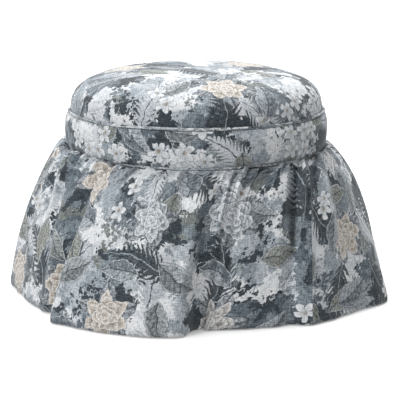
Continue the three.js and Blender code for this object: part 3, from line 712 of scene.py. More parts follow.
class GardenPrint:
    """The print's colour: its ground, and the motifs that are laid over it one by one."""

    def __init__(self, paint, cloth):
        self.paint = paint
        self.tones = {name: shade_of(name) for name in PRINT_TONES}
        self.colour = self.leafy_ground(cloth)
        self.brush = paint.noise(cloth, 120, 3.0, 0.65, flat=True)
        self.cloth = swayed(paint, swayed(paint, cloth, 32, 2.0, 0.014), 160, 1.0, 0.0032)
        self.lay_pale_ferns()
        self.lay_dark_ferns()
        broad = self.scattered(0.11, 0.6, (6.6, 3.4))
        self.lay_leaves(broad, broad.lots[2] > 0.42, length=0.088, width=0.042)
        self.lay_small_flowers()
        rose = self.scattered(0.235, 0.4, (8.1, 5.3))
        self.lay_blooms(rose, rose.lots[2] > 0.2, radius=0.041)
        late = self.scattered(0.15, 0.5, (1.9, 8.8))
        self.lay_leaves(late, late.lots[2] > 0.62, length=0.1, width=0.05)

    def scattered(self, size, wander, shift):
        return Motifs(self.paint, self.cloth, size, wander, shift)

    def toned(self, shade):
        """A tone of the print by its name; any other colour as it is."""
        return self.tones[shade] if isinstance(shade, str) else shade

    def mix(self, factor, below, above):
        """One colour laid over another; either may be the name of a tone."""
        return self.paint.mix(factor, self.toned(below), self.toned(above))

    def over(self, below, above, depth, softness, *shares):
        """One colour over another where depth is over zero, thinned by each of the shares."""
        mask = self.paint.inside(depth, softness)
        for share in shares:
            mask = mask * share
        return self.mix(mask, below, above)

    def lay(self, above, depth, softness, *shares):
        """A colour laid over the print so far."""
        self.colour = self.over(self.colour, above, depth, softness, *shares)

    def leafy_ground(self, cloth):
        """Pale cloth under far and near foliage, whose outlines run in small ragged leaves."""
        paint = self.paint
        ragged = swayed(paint, cloth, 170, 2.0, 0.008)
        edge = leaf_edge(paint, ragged, 0.0165, 0.13) + leaf_edge(paint, ragged, 0.0068, 0.11)

        def mass(name):
            """1 inside one spread of foliage and 0 outside it, with leafy edges."""
            shift, scale, level = MASSES[name]
            moved = paint.vector_math("ADD", cloth, (*shift, 0))
            spread = paint.noise(moved, scale, 1.0, 0.5, 0.35, flat=True)
            return paint.inside(spread + edge - level, 0.004)

        soft = paint.noise(cloth, 60, 3.0, 0.6, flat=True)
        sky = paint.ramp(soft, [(0.34, self.tones["pale"]), (0.5, self.tones["white"])])
        sky = self.mix(mass("pale"), sky, "pale")
        far = self.mix(mass("mist"), "silver", "mist")
        near = self.mix(mass("stone"), "slate", "stone")
        near = self.mix(mass("moss") * 0.42, near, "moss")
        near = self.mix(mass("ink"), near, "ink")
        ground = self.mix(mass("near"), self.mix(mass("far"), sky, far), near)
        twig = abs(paint.noise(ragged, 17, 1.5, 0.5, 0.5, flat=True) - 0.5)
        return self.over(ground, "slate", 0.0022 - twig, 0.003, 0.8)

    def lay_pale_ferns(self):
        """Pale curved fronds with dark stems."""
        fern = self.scattered(0.16, 0.55, (4.2, 1.7))
        leaflet, stem = frond(self.paint, fern, length=0.15, width=0.062, pitch=0.0105)
        shown = fern.lots[1] > 0.3
        self.lay("slate", self.paint.math("MAXIMUM", leaflet, stem) + 0.0016, 0.001, shown, 0.5)
        self.lay(self.mix(fern.lots[2], "mist", "pale"), leaflet, 0.0012, shown)
        self.lay("ink", stem, 0.0008, shown)

    def lay_dark_ferns(self):
        """Dark curved fronds with pale stems."""
        fern = self.scattered(0.18, 0.5, (7.3, 9.2))
        leaflet, stem = frond(self.paint, fern, length=0.165, width=0.07, pitch=0.013)
        shown = fern.lots[1] > 0.4
        self.lay("ink", leaflet, 0.0012, shown, 0.95)
        self.lay("mist", stem, 0.0008, shown)

    def lay_leaves(self, leaf, shown, length, width, bend=2.4, lean=0.35):
        """Large leaves with a pale rim, dark ribs and one half in shade."""
        bowed = leaf.y - leaf.x * leaf.x * bend
        side = abs(bowed)
        deep = almond(leaf.x, bowed, length, width, lean)
        veins = self.paint.math("FRACT", (leaf.x - side * 0.9) / (length * 0.13))
        half = self.paint.inside(bowed, 0.004) * 0.55 + self.brush * 1.8 - 0.7
        fill = self.mix(self.paint.clamped(half), "slate", "silver")
        fill = self.over(fill, "moss", leaf.lots[1] - 0.6, 0.3, 0.65)
        fill = self.over(fill, "ink", 0.085 - abs(veins - 0.5), 0.05, 0.6)
        fill = self.over(fill, "ink", 0.0011 - side, 0.0008, 0.85)
        fill = self.over(fill, "pale", 0.0017 - deep, 0.001, 0.8)
        self.lay("ink", deep + 0.0022, 0.0016, shown, 0.55)
        self.lay(fill, deep, 0.0014, shown)

    def lay_small_flowers(self):
        """Clusters of small open flowers with warm middles."""
        flower = self.scattered(0.046, 0.55, (2.7, 6.1))
        shown = self.paint.noise(flower.middle(), 6.5, 1.0, flat=True) > 0.64
        distance, bearing = self.paint.polar(flower.x, flower.y)
        deep = petals(distance, bearing, count=5, radius=0.0215, notch=0.36)
        fill = self.mix(self.paint.clamped(distance * 60), "silver", "white")
        self.lay("slate", deep + 0.0016, 0.001, shown, 0.7)
        self.lay(fill, deep, 0.0012, shown)
        self.lay("taupe", 0.0042 - distance, 0.0014, shown)

    def lay_blooms(self, rose, shown, radius):
        """Round garden blooms, each on a rosette of leaves, with their petals in rings."""
        distance, bearing = self.paint.polar(rose.x, rose.y)
        self.lay_rosette(distance, bearing, shown, radius)
        warmth = self.paint.inside(rose.lots[1] - 0.3, 0.3)
        warm_white = [(a + b) / 2 for a, b in zip(self.tones["white"], self.tones["blush"])]
        lip = self.mix(warmth, "white", warm_white)
        middle = self.mix(warmth, "pale", "blush")
        fold = self.mix(warmth, "stone", "taupe")
        outline = self.mix(0.5, fold, "slate")
        streak = abs(self.paint.math("SINE", bearing * 31 + self.brush * 9))
        for ring, count, share, notch, turn in BLOOM_RINGS:
            deep = ring(distance, bearing, count, radius * share, notch, turn)
            shading = deep * (1 / (radius * 0.3)) + self.brush * 2.4 - streak * 0.45 - 0.95
            fill = self.mix(self.paint.clamped(shading), middle, fold)
            fill = self.over(fill, lip, 0.0018 - deep, 0.002)
            self.lay(outline, deep + 0.0014, 0.0009, shown, 0.8)
            self.lay(fill, deep, 0.0012, shown)

    def lay_rosette(self, distance, bearing, shown, radius, count=5, turn=0.2):
        """The leaves behind a bloom, with dark ribs and a dark outline."""
        deep = pointed_leaves(distance, bearing, count, radius * 1.6, 0.3, turn)
        rib = self.paint.math("PINGPONG", bearing * (count / TURN) + turn, 0.5) * 2
        light = distance * (0.6 / radius) + self.brush * 2.2 - 1.45
        veins = self.paint.math("FRACT", (distance + (1 - rib) * (radius * 0.35)) * (9 / radius))
        fill = self.mix(self.paint.clamped(light), "slate", "pale")
        fill = self.over(fill, "ink", 0.14 - abs(veins - 0.5), 0.1, 0.4)
        fill = self.over(fill, "ink", rib - 0.95, 0.05, 0.8)
        self.lay("ink", deep + 0.002, 0.0014, shown, 0.7)
        self.lay(fill, deep, 0.0014, shown)


def printed_cloth(paint):
    """The stool's cloth: a slate and white garden print on a plain woven canvas."""
    cloth = paint.cloth()
    result = GardenPrint(paint, cloth).colour
    wash = paint.noise(cloth, 38, 3.0, 0.6, 0.4, flat=True)
    washed = paint.mix(wash, (0.2, 0.2, 0.2), (0.8, 0.8, 0.8))
    result = paint.mix(0.25, result, washed, "SOFT_LIGHT")
    warp = paint.noise(paint.stretched(cloth, (460, 90, 0)), 1.0, 1.0, flat=True)
    weft = paint.noise(paint.stretched(cloth, (90, 460, 0)), 1.0, 1.0, flat=True)
    stops = [(0.36, (0.1, 0.1, 0.1)), (0.64, (0.9, 0.9, 0.9))]
    slub = paint.ramp(warp * 0.5 + weft * 0.5, stops)
    result = paint.mix(0.75, result, slub, "SOFT_LIGHT")
    x, y, _ = paint.parts(cloth)
    thread_pitch = 0.0013
    over = paint.math("SINE", x * (TURN / thread_pitch))
    under = paint.math("SINE", y * (TURN / thread_pitch))
    crush = paint.noise(cloth, 70, flat=True)
    height = over * under * 0.25 + (warp + weft) * 0.5 + crush * 1.6
    fixed = {"Sheen Weight": 0.18, "Sheen Roughness": 0.45, "Specular IOR Level": 0.3}
    return paint.finish(result, 0.86, height, 0.0006, 0.55, **fixed)


# The other finishes

def plain_cloth(paint, shade, pitch, sheen):
    """A plain woven cloth in one colour, with uneven threads."""
    shade = shade_of(shade)
    place = paint.place()
    x, y, z = paint.parts(place)
    out, bearing = paint.polar(x, y)
    warp = paint.math("SINE", bearing * 0.3 * (TURN / pitch))
    weft = paint.math("SINE", (z + out) * (TURN / pitch))
    mottle = paint.noise(place, 60, 3.0, 0.6)
    worn = paint.noise(place, 9)
    darker = scaled_shade(shade, 0.78)
    base = paint.mix(mottle * 0.6 + worn * 0.4, darker, scaled_shade(shade, 1.16))
    base = paint.mix(paint.clamped(warp * weft * 0.12 + 0.1), base, darker)
    height = warp * weft * 0.4 + mottle
    fixed = {"Sheen Weight": sheen, "Sheen Roughness": 0.5, "Specular IOR Level": 0.25}
    return paint.finish(base, 0.9, height, 0.0004, 0.6, **fixed)


def along_grain(paint, axis, across, along):
    """The place in the object, stretched so that a noise runs along one axis."""
    factors = [across] * 3
    factors[axis] = along
    return paint.stretched(paint.place(), tuple(factors))


def wood(paint, axis):
    """Pale hardwood whose grain runs along one axis."""
    rings = paint.noise(along_grain(paint, axis, 14.0, 1.4), 3.2, 4.0, 0.55, 0.9)
    figure = paint.math("PINGPONG", paint.math("FRACT", rings * 7), 0.5) * 2
    pores = paint.noise(along_grain(paint, axis, 260.0, 12.0), 1.0, 2.0, 0.6)
    dark = shade_of("wood_dark")
    base = paint.mix(figure * 0.45 + pores * 0.35, shade_of("wood_pale"), dark)
    base = paint.mix(paint.inside(pores - 0.66, 0.05) * 0.5, base, scaled_shade(dark, 0.55))
    gloss = paint.math("MULTIPLY_ADD", pores, 0.2, 0.42)
    return paint.finish(base, gloss, pores + figure * 0.2, 0.0003, 0.4)


def plywood(paint):
    """Sheet wood: veneer grain on its faces and plies on its edges."""
    place = paint.place()
    _, _, z = paint.parts(place)
    _, _, facing = paint.parts(paint.wire(paint.node("ShaderNodeNewGeometry"), "Normal"))
    edge = paint.inside(0.5 - abs(facing), 0.1)
    ply_thickness = 0.0026
    plies = paint.math("PINGPONG", z * (1 / ply_thickness), 0.5) * 2
    grain = paint.noise(paint.stretched(place, (12, 150, 12)), 1.0, 4.0, 0.6, 0.4)
    woods = (shade_of("wood_pale"), shade_of("wood_dark"))
    side = paint.mix(paint.inside(plies - 0.5, 0.2), *woods)
    base = paint.mix(edge, paint.mix(grain, *woods), side)
    height = grain * (1 - edge) + plies * edge
    return paint.finish(base, 0.62, height, 0.0003, 0.5)


def zinc_steel(paint):
    """Zinc plated steel with a faint spangle and smears."""
    place = paint.place()
    _, lots = paint.cells(place, 900, 1.0)
    smear = paint.noise(place, 120, 3.0, 0.6)
    shade = shade_of("steel")
    base = paint.mix(lots[0] * 0.5 + smear * 0.4, shade, scaled_shade(shade, 0.72))
    return paint.finish(base, smear * 0.25 + 0.25, smear, 0.0001, 0.3, Metallic=1.0)


def nylon(paint):
    """Moulded nylon, scuffed where it meets the floor."""
    place = paint.place()
    _, _, z = paint.parts(place)
    grain = paint.noise(place, 900)
    scuff = paint.noise(place, 160, 4.0, 0.65) * paint.inside(0.0025 - z, 0.002)
    shade = shade_of("nylon")
    base = paint.mix(scuff, shade, scaled_shade(shade, 2.4, 0.05))
    return paint.finish(base, grain * 0.2 + 0.45, grain + scuff, 0.0001, 0.4)


def cardboard(paint):
    """Grey brown board with pressed fibres."""
    place = paint.place()
    fibre = paint.noise(paint.stretched(place, (60, 60, 400)), 1.0, 4.0, 0.7)
    fleck = paint.noise(place, 700, 1.0)
    shade = shade_of("board")
    base = paint.mix(fibre, shade, scaled_shade(shade, 0.66))
    base = paint.mix(paint.inside(fleck - 0.7, 0.05) * 0.5, base, scaled_shade(shade, 0.4))
    return paint.finish(base, 0.88, fibre, 0.0003, 0.5)


def sewing_thread(paint):
    """Twisted thread for the hem's stitches."""
    twist = paint.noise(paint.stretched(paint.place(), (2200, 2200, 900)), 1.0)
    shade = shade_of("thread")
    base = paint.mix(twist, scaled_shade(shade, 0.6), shade)
    return paint.finish(base, 0.7, twist, 0.0001, 0.5)


def floor_paper(paint):
    """A plain pale studio floor."""
    grain = paint.noise(paint.place(), 3.0)
    glow = {"Emission Color": (1, 1, 1, 1), "Emission Strength": 0.2}
    return paint.finish(paint.mix(grain, (0.9, 0.9, 0.9), (0.93, 0.93, 0.93)), 0.95, **glow)


# Each finish by name, with what its maker needs to know
FINISHES = {
    "printed_cloth": (printed_cloth,),
    "lining_cloth": (plain_cloth, "lining", 0.0011, 0.2),
    "dust_cambric": (plain_cloth, "dust_cloth", 0.0016, 0.1),
    "wood_upright": (wood, 2),
    "wood_across": (wood, 0),
    "wood_deep": (wood, 1),
    "plywood": (plywood,),
    "zinc_steel": (zinc_steel,),
    "nylon": (nylon,),
    "cardboard": (cardboard,),
    "sewing_thread": (sewing_thread,),
    "floor_paper": (floor_paper,),
}
FINISHES_MADE = {}


def finish_named(name):
    """The material of this name, made the first time it is asked for."""
    if name not in FINISHES_MADE:
        maker, *given = FINISHES[name]
        FINISHES_MADE[name] = maker(Paint(name), *given)
    return FINISHES_MADE[name]


# Shapes laid on a grid

def half_across(box):
    """Half the width of a node's box from side to side."""
    low, high = box
    return (high[0] - low[0]) / 2


def spun(radius, turn, height):
    """Points at these radii, turns and heights round the stool, whose front is at no turn."""
    across = radius * np.sin(turn)
    back = -radius * np.cos(turn)
    return np.stack(np.broadcast_arrays(across, back, height), axis=2)


def meshed(name, shape):
    """The mesh of a finished bmesh, which is freed."""
    mesh = bpy.data.meshes.new(name)
    shape.to_mesh(mesh)
    shape.free()
    return mesh


def grid_piece(name, points, cloth, closed=False, outward=INSIDE):
    """A grid of quads at the given points, whose UV map holds the flat cloth's metres.

    points is rows by columns by 3 and cloth rows by columns by 2. A closed grid's edges are
    merged. outward gives a point that the faces look away from.
    """
    rows = points.shape[0] - 1
    columns = points.shape[1] - 1
    shape = bmesh.new()
    bmesh.ops.create_grid(shape, x_segments=columns, y_segments=rows, size=0.5)
    mesh = meshed(name, shape)
    flat = np.empty(len(mesh.vertices) * 3)
    mesh.vertices.foreach_get("co", flat)
    flat = flat.reshape(-1, 3)
    column = np.rint((flat[:, 0] + 0.5) * columns).astype(int)
    row = np.rint((flat[:, 1] + 0.5) * rows).astype(int)
    mesh.vertices.foreach_set("co", points[row, column].ravel())
    corner = np.empty(len(mesh.loops), dtype=int)
    mesh.loops.foreach_get("vertex_index", corner)
    layer = mesh.uv_layers.new(name="cloth")
    layer.data.foreach_set("uv", cloth[row, column][corner].ravel())
    layer.active_render = True
    shape = bmesh.new()
    shape.from_mesh(mesh)
    if closed:
        bmesh.ops.remove_doubles(shape, verts=shape.verts, dist=MERGE)
    turn_faces_out(shape, outward)
    shape.to_mesh(mesh)
    shape.free()
    mesh.shade_smooth()
    return lay_down(name, mesh)


def turn_faces_out(shape, middle):
    """Turns a skin round where most of its area looks towards a point inside it."""
    looking = 0.0
    for face in shape.faces:
        away = (face.calc_center_median() - middle).normalized()
        looking += face.calc_area() * face.normal.dot(away)
    if looking < 0:
        bmesh.ops.reverse_faces(shape, faces=shape.faces)


def ring_faces_out(piece):
    """Points the faces of a closed ring away from what fills it."""
    shape = bmesh.new()
    shape.from_mesh(piece.data)
    bmesh.ops.recalc_face_normals(shape, faces=shape.faces)
    shape.to_mesh(piece.data)
    shape.free()


def lay_down(name, mesh):
    """Puts a mesh into the scene as a piece of the stool."""
    piece = bpy.data.objects.new(name, mesh)
    bpy.context.scene.collection.objects.link(piece)
    return piece


def dressed(piece, finish):
    """Gives a piece its material and its slot, and lets it ride on the stool's one body."""
    piece.data.materials.clear()
    piece.data.materials.append(finish_named(finish))
    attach(piece, "root")


def proud(points, height, closed=False):
    """Moves a grid of points out along its own normals."""
    if closed:
        core = points[:, :-1]
        along = np.roll(core, -1, axis=1) - np.roll(core, 1, axis=1)
        along = np.concatenate((along, along[:, :1]), axis=1)
    else:
        along = np.gradient(points, axis=1)
    normal = np.cross(along, np.gradient(points, axis=0))
    length = np.linalg.norm(normal, axis=2, keepdims=True)
    normal = normal / np.maximum(length, 1e-12)
    return points + normal * height[..., None]


def run_of(points, axis):
    """Distance travelled along a grid, from its first row or column."""
    steps = np.linalg.norm(np.diff(points, axis=axis), axis=2)
    run = np.cumsum(steps, axis=axis)
    return np.concatenate((np.zeros_like(np.take(run, [0], axis=axis)), run), axis=axis)


def laid_flat(along, up):
    """The flat cloth's metres from two distances, one or both of them the same all along."""
    return np.stack(np.broadcast_arrays(along, up), axis=2)


def solidified(piece, thickness, inwards=True):
    """Gives a skin of cloth its thickness."""
    wall = piece.modifiers.new("cloth thickness", "SOLIDIFY")
    wall.thickness = thickness
    wall.offset = -1 if inwards else 1
    wall.use_even_offset = False


def uneven_steps(generator, turn, count, spread, start=0.0):
    """Which of a round's uneven steps each turn falls in, and how far along that step."""
    widths = generator.uniform(1 - spread, 1 + spread, count)
    edges = np.concatenate(((0.0,), np.cumsum(widths) / widths.sum())) * TURN + start
    index = np.clip(np.searchsorted(edges, turn, side="right") - 1, 0, count - 1)
    return index, (turn - edges[index]) / (edges[index + 1] - edges[index])


def pucker(part, lot, fade):
    """How far the cloth at a welt stands out between two of its stitches."""
    swell = np.sin(math.pi * part) ** PUCKER_POWER - PUCKER_LEVEL
    return swell * lot * fade * sizes().pucker_depth


def soft_waves(generator, turn, orders):
    """A smooth wavering round the stool, about -1 to 1."""
    total = np.zeros_like(turn)
    for order in orders:
        total += generator.uniform(0.4, 1) * np.cos(order * turn + generator.uniform(0, TURN))
    return total / (0.55 * len(orders))


def eased(share):
    """0 to 1 with level ends."""
    share = np.clip(share, 0, 1)
    return share * share * (3 - 2 * share)


# The crown and the band

class STOOL_OT_cushion(Operator):
    """Makes the domed cushion under its round of printed cloth"""

    bl_idname = "stool.cushion"
    bl_label = "Cushion"

    def execute(self, context):
        count = sizes().puckers
        generator = np.random.default_rng(SEEDS["crown"])
        low = CROWN_BOX[0][2]
        rise = CROWN_BOX[1][2] - low
        radius, height = self.section(rise)
        turn = np.linspace(0, TURN, CROWN_COLUMNS + 1)
        points = spun(radius[:, None], turn, low + height[:, None])
        run = run_of(points, 0)
        from_middle = run[-1:] - run
        past_seam = run - run[CROWN_UNDER_ROWS]
        index, part = uneven_steps(generator, turn, count, CROWN_PUCKER_SPREAD)
        lot = generator.uniform(0.25, 1.0, count)[index]
        reach = generator.uniform(*CROWN_PUCKER_REACH, count)[index]
        fade = np.exp(-np.maximum(past_seam, 0) / reach) * (past_seam >= 0)
        waver = soft_waves(generator, turn, (2, 3, 5)) * CROWN_WAVER
        ripple = soft_waves(generator, turn, (11, 17, 23)) * CROWN_RIPPLE
        clear_of_middle = eased(from_middle / 0.25)
        near_edge = eased((from_middle - 0.13) / 0.12)
        stand = pucker(part, lot, fade)
        stand = stand + waver * eased(past_seam / 0.05) * clear_of_middle
        stand = stand + ripple * eased(past_seam / 0.03) * near_edge
        points = proud(points, stand, closed=True)
        points[-1] = points[-1].mean(axis=0)
        cloth = laid_flat(from_middle * np.sin(turn), -from_middle * np.cos(turn)) + CUTS["crown"]
        middle = Vector((0, 0, low + rise / 2))
        crown = grid_piece("crown", points, cloth, closed=True, outward=middle)
        dressed(crown, "printed_cloth")
        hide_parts("crown_cover", "batting_wrap", "foam_core")
        return {"FINISHED"}

    def section(self, rise):
        """Radii and heights from the middle of the underside over the edge to the top."""
        angle = np.linspace(0, 1, CROWN_ROWS) ** 1.5 * math.pi / 2
        height = rise * np.sin(angle) ** CROWN_TOP_POWER
        tuck = CROWN_TUCK * np.clip(1 - height / CROWN_TUCK_HEIGHT, 0, 1) ** 2
        radius = half_across(CROWN_BOX) * np.cos(angle) ** CROWN_SIDE_POWER - tuck
        radius[-1] = 0
        under = np.linspace(0, 1, CROWN_UNDER_ROWS + 1)[:-1] ** 0.8
        radius = np.concatenate((radius[0] * under, radius))
        return radius, np.concatenate((np.zeros(CROWN_UNDER_ROWS), height))


class STOOL_OT_band(Operator):
    """Makes the padded upright band round the drum"""

    bl_idname = "stool.band"
    bl_label = "Band"

    def execute(self, context):
        count = sizes().puckers
        generator = np.random.default_rng(SEEDS["band"])
        fullest = PADDING_INNER + PADDING_FULLEST
        radius, height = self.section(fullest)
        turn = np.linspace(0, TURN, BAND_COLUMNS + 1) + math.pi
        points = spun(radius[:, None], turn, height[:, None])
        run = run_of(points, 0)
        outer = (np.arange(len(radius)) < BAND_ROWS)[:, None]
        deep = np.minimum(run, np.maximum(run[BAND_ROWS - 1] - run, 0))
        index, part = uneven_steps(generator, turn, count, BAND_PUCKER_SPREAD, start=math.pi)
        lot = generator.uniform(0.2, 1.0, count)[index]
        waver = soft_waves(generator, turn, (3, 4, 7, 9)) * BAND_WAVER
        waver = waver + soft_waves(generator, turn, (15, 22, 31)) * BAND_RIPPLE
        seam_gap = np.abs(np.angle(np.exp(1j * (turn - math.pi)))) * fullest
        seam = -BAND_SEAM * np.exp(-((seam_gap / BAND_SEAM) ** 2))
        stand = pucker(part, lot, np.exp(-deep / BAND_PUCKER_REACH) * outer)
        stand = stand + (waver + seam) * eased(deep / 0.02)
        points = proud(points, stand, closed=True)
        cloth = laid_flat(turn * fullest, run) + CUTS["band"]
        band = grid_piece("band", points, cloth, closed=True)
        ring_faces_out(band)
        dressed(band, "printed_cloth")
        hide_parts("band_cover", "band_padding")
        return {"FINISHED"}

    def section(self, fullest):
        """Radii and heights up the band's barrel, and down its straight inner side."""
        share = (1 - np.cos(np.linspace(0, math.pi, BAND_ROWS))) / 2
        foot = PADDING_INNER + PADDING_FOOT
        head = PADDING_INNER + PADDING_HEAD
        swell = 1 - np.abs(2 * share - 1) ** BARREL_POWER
        radius = foot + (head - foot) * share + (fullest - (foot + head) / 2) * swell
        radius = radius + COVER_OVER_PADDING
        top = BAND_BOX[1][2] - FIT
        height = BAND_FOOT + (top - BAND_FOOT) * share
        inner_rows = 5
        radius = np.concatenate((radius, np.full(inner_rows, PADDING_INNER), radius[:1]))
        down = np.linspace(top, BAND_FOOT, inner_rows)
        return radius, np.concatenate((height, down, height[:1]))


# The welts

def welt(name, box, lift):
    """A piped cord: a strip of the cloth cut slantwise and sewn round a cord."""
    low, high = box
    generator = np.random.default_rng(SEEDS[name])
    thick = (high[2] - low[2]) / 2
    ring = half_across(box) - thick
    turn = np.linspace(0, TURN, WELT_COLUMNS + 1)
    around = np.linspace(0, TURN, WELT_ROWS)[:, None]
    waver = soft_waves(generator, turn, (9, 14, 26)) * WELT_WAVER
    lifted = soft_waves(generator, turn, (3, 5, 8)) * lift
    wrinkle = soft_waves(generator, turn, (71, 97, 131)) * WELT_WRINKLE
    fat = thick + waver - WELT_INSET + wrinkle * np.sin(around + turn * 40)
    middle = (high[2] + low[2]) / 2
    points = spun(ring + fat * np.cos(around), turn, middle + lifted + fat * np.sin(around))
    along = turn * ring * BIAS
    over = around * thick * BIAS
    cloth = laid_flat(along + over, along - over) + CUTS[name]
    piece = grid_piece(name, points, cloth, closed=True)
    ring_faces_out(piece)
    dressed(piece, "printed_cloth")
    return piece


class STOOL_OT_welts(Operator):
    """Makes the two piped welts above and below the band"""

    bl_idname = "stool.welts"
    bl_label = "Welts"

    def execute(self, context):
        upper = welt("upper_piping", UPPER_WELT_BOX, lift=0.0006)
        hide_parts("upper_welt")
        lower = welt("lower_piping", LOWER_WELT_BOX, lift=0.0008)
        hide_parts("lower_welt")
        return {"FINISHED"}


# The skirt

def fold_knot(index):
    """A fold's row of the table, with its angles carried on past a full turn."""
    count = len(FOLD_SHARES)
    knot = FOLD_SHARES[index % count].astype(float)
    knot[:, :2] += 360 * np.floor_divide(index, count)[:, None]
    return knot


def fold_at(station):
    """Heading turn, hem turn, reach share, puff share and bow at places round the skirt."""
    low = np.floor(station).astype(int)
    part = (station - low)[:, None]
    before, start, end, after = (fold_knot(low + step) for step in (-1, 0, 1, 2))
    leave = (end - before) * FOLD_PULL
    arrive = (after - start) * FOLD_PULL
    square = part * part
    cube = square * part
    value = start * (2 * cube - 3 * square + 1) + end * (3 * square - 2 * cube)
    value = value + leave * (cube - 2 * square + part) + arrive * (cube - square)
    heading, hem, reach, puff, bow = value.T
    return np.radians(heading), np.radians(hem), reach, puff, np.radians(bow)


def bell(drop):
    """How far the skirt has swept out at a share of its drop."""
    return (1 - (1 - drop) ** BELL_INNER_POWER) ** BELL_OUTER_POWER


def heading_gathers(heading, fall):
    """How far the small gathers stand out, by heading angle and distance below the seam."""
    count = sizes().gathers
    generator = np.random.default_rng(SEEDS["gathers"])
    index, part = uneven_steps(generator, np.mod(heading, TURN), count, GATHER_SPREAD)
    lot = GATHER_LEAST + GATHER_MORE * generator.uniform(0.0, 1.0, count) ** GATHER_LOT_POWER
    lasting = generator.uniform(*GATHER_LASTS, count)
    lasting = lasting + GATHER_LASTS_MORE * generator.uniform(0.0, 1.0, count) ** 2
    narrowness = generator.uniform(*GATHER_NARROWNESS, count)
    lean = generator.uniform(*GATHER_LEAN, count)
    ridge = np.sin(math.pi * part ** lean[index]) ** narrowness[index]
    grown = 1 - np.exp(-fall / GATHER_RISE)
    fade = np.exp(-((fall / lasting[index]) ** GATHER_FADE_POWER))
    return ridge * lot[index] * sizes().gather_depth * grown * fade


def lesser_folds(heading, drop, folds, root=LESSER_FOLD_ROOT):
    """The folds between gathers and main folds: each rises, slants a little and dies away."""
    total = np.zeros(np.broadcast_shapes(heading.shape, drop.shape))
    for top, middle, foot, first, last, width, out in folds:
        life = np.clip((drop - first) / (last - first), 0, 1)
        centre = top * (1 - life) * (1 - 2 * life)
        centre = centre + middle * 4 * life * (1 - life) + foot * life * (2 * life - 1)
        gap = np.angle(np.exp(1j * (heading - np.radians(centre))))
        profile = np.exp(-((gap / math.radians(width)) ** 2))
        total += out * profile * np.sin(math.pi * life) ** LESSER_FOLD_POWER
    return total * sizes().fold_depth * (1 - np.exp(-drop / root))


def skirt_rows():
    """The rows' shares of the puff and of the drop; the first row is tucked under the welt."""
    puff = np.concatenate(((-1.0,), np.linspace(0, 1, PUFF_ROWS)[:-1], np.ones(DROP_ROWS)))
    drop = np.linspace(0, 1, DROP_ROWS) ** DROP_CROWDING
    return puff[:, None], np.concatenate((np.zeros(PUFF_ROWS), drop))[:, None]


def skirt_points(station):
    """The skirt's face at these places round it, from the seam under the welt to the hem."""
    heading, hem, reach_share, puff_share, bow = fold_at(station)
    heading = heading[None, :]
    puffed, drop = skirt_rows()
    puff = PUFF_HEIGHT * np.clip(puff_share, *PUFF_LIMITS)
    roll = WELT_OUTSIDE + PUFF_REACH * (FLAT_REACH_SHARE + (1 - FLAT_REACH_SHARE) * puff_share)
    rise = np.maximum(puffed, 0) * math.pi / 2
    start = WELT_OUTSIDE - SEAM_INSET
    rolled = start + (roll - start) * (1 - np.cos(rise)) - TUCK_UNDER_WELT * (puffed < 0)
    top = SEAM_HEIGHT + puff
    height = SEAM_HEIGHT + puff * np.sin(rise) + (HEM_CLEARANCE - top) * drop
    mean = HEM_RADIUS * FOLD_SHARES[:, 2].mean()
    swept = bell(drop)
    far = mean * swept + (HEM_RADIUS * reach_share - mean) * drop ** FOLD_GROWTH_POWER
    near = rolled * (1 - swept)
    fall_turn = hem + bow * 4 * drop * (1 - drop)
    points = spun(near, heading, height)
    points[..., :2] += spun(far, fall_turn, height)[..., :2]
    fall = np.maximum(run_of(points, 0) - TUCK_UNDER_WELT, 0)
    stand = heading_gathers(heading, fall)
    stand = stand + lesser_folds(heading, drop, LESSER_FOLDS)
    stand = stand + lesser_folds(heading, fall / SEAM_HEIGHT, CREASES, CREASE_ROOT)
    waves = soft_waves(np.random.default_rng(SEEDS["hem"]), hem, (19, 27, 38, 52)) * HEM_WAVE
    points = proud(points, stand + waves * drop ** 2)
    for *fold, toward in POCKETS:
        depth = lesser_folds(heading, drop, [fold])
        points[..., 0] -= depth * math.sin(math.radians(toward))
        points[..., 1] += depth * math.cos(math.radians(toward))
    points[..., 2] = np.maximum(points[..., 2], HEM_CLEARANCE * HEM_LOWEST_SHARE)
    return points


def skirt_panel(name, first, last):
    """One width of the skirt, drawn in where it is sewn to its neighbour."""
    station = np.linspace(first, last, SKIRT_COLUMNS + 1)
    points = skirt_points(station)
    across = run_of(points, 1)[WIDTH_ROW]
    edge = np.minimum(across, across[-1] - across)
    pinch = -SEAM_PINCH * np.exp(-((edge / SEAM_PINCH) ** 1.5))
    _, drop = skirt_rows()
    points = proud(points, pinch * eased(drop / 0.1 + 0.3))
    down = run_of(points, 0)
    up = down[-1:] - down
    over_hem = up - sizes().hem_depth
    step = HEM_STEP * eased(0.5 - over_hem / HEM_STEP_WIDTH)
    dent = STITCH_DENT * np.exp(-((over_hem / STITCH_DENT_WIDTH) ** 2))
    points = proud(points, step - dent)
    panel = grid_piece(name, points, laid_flat(across, up) + CUTS[name])
    solidified(panel, sizes().cloth_thickness)
    dressed(panel, "printed_cloth")
    return panel, points, up


class STOOL_OT_skirt(Operator):
    """Makes the skirt's two gathered widths and the stitching of their hem"""

    bl_idname = "stool.skirt"
    bl_label = "Skirt"

    def execute(self, context):
        before_front = LEFT_SEAM_FOLD - len(FOLD_SHARES)
        widths = (
            ("skirt_front", before_front, RIGHT_SEAM_FOLD, "skirt_panel_front"),
            ("skirt_back", RIGHT_SEAM_FOLD, LEFT_SEAM_FOLD, "skirt_panel_back"),
        )
        stitches = bmesh.new()
        for name, first, last, node in widths:
            panel, points, up = skirt_panel(name, first, last)
            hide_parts(node)
            sew_hem(stitches, points, up)
        mesh = meshed("hem_stitches", stitches)
        mesh.shade_smooth()
        dressed(lay_down("hem_stitches", mesh), "sewing_thread")
        return {"FINISHED"}


def line_at(places, run, line):
    """Points of a line at these distances along it."""
    return np.stack([np.interp(places, run, line[:, i]) for i in range(3)], axis=-1)


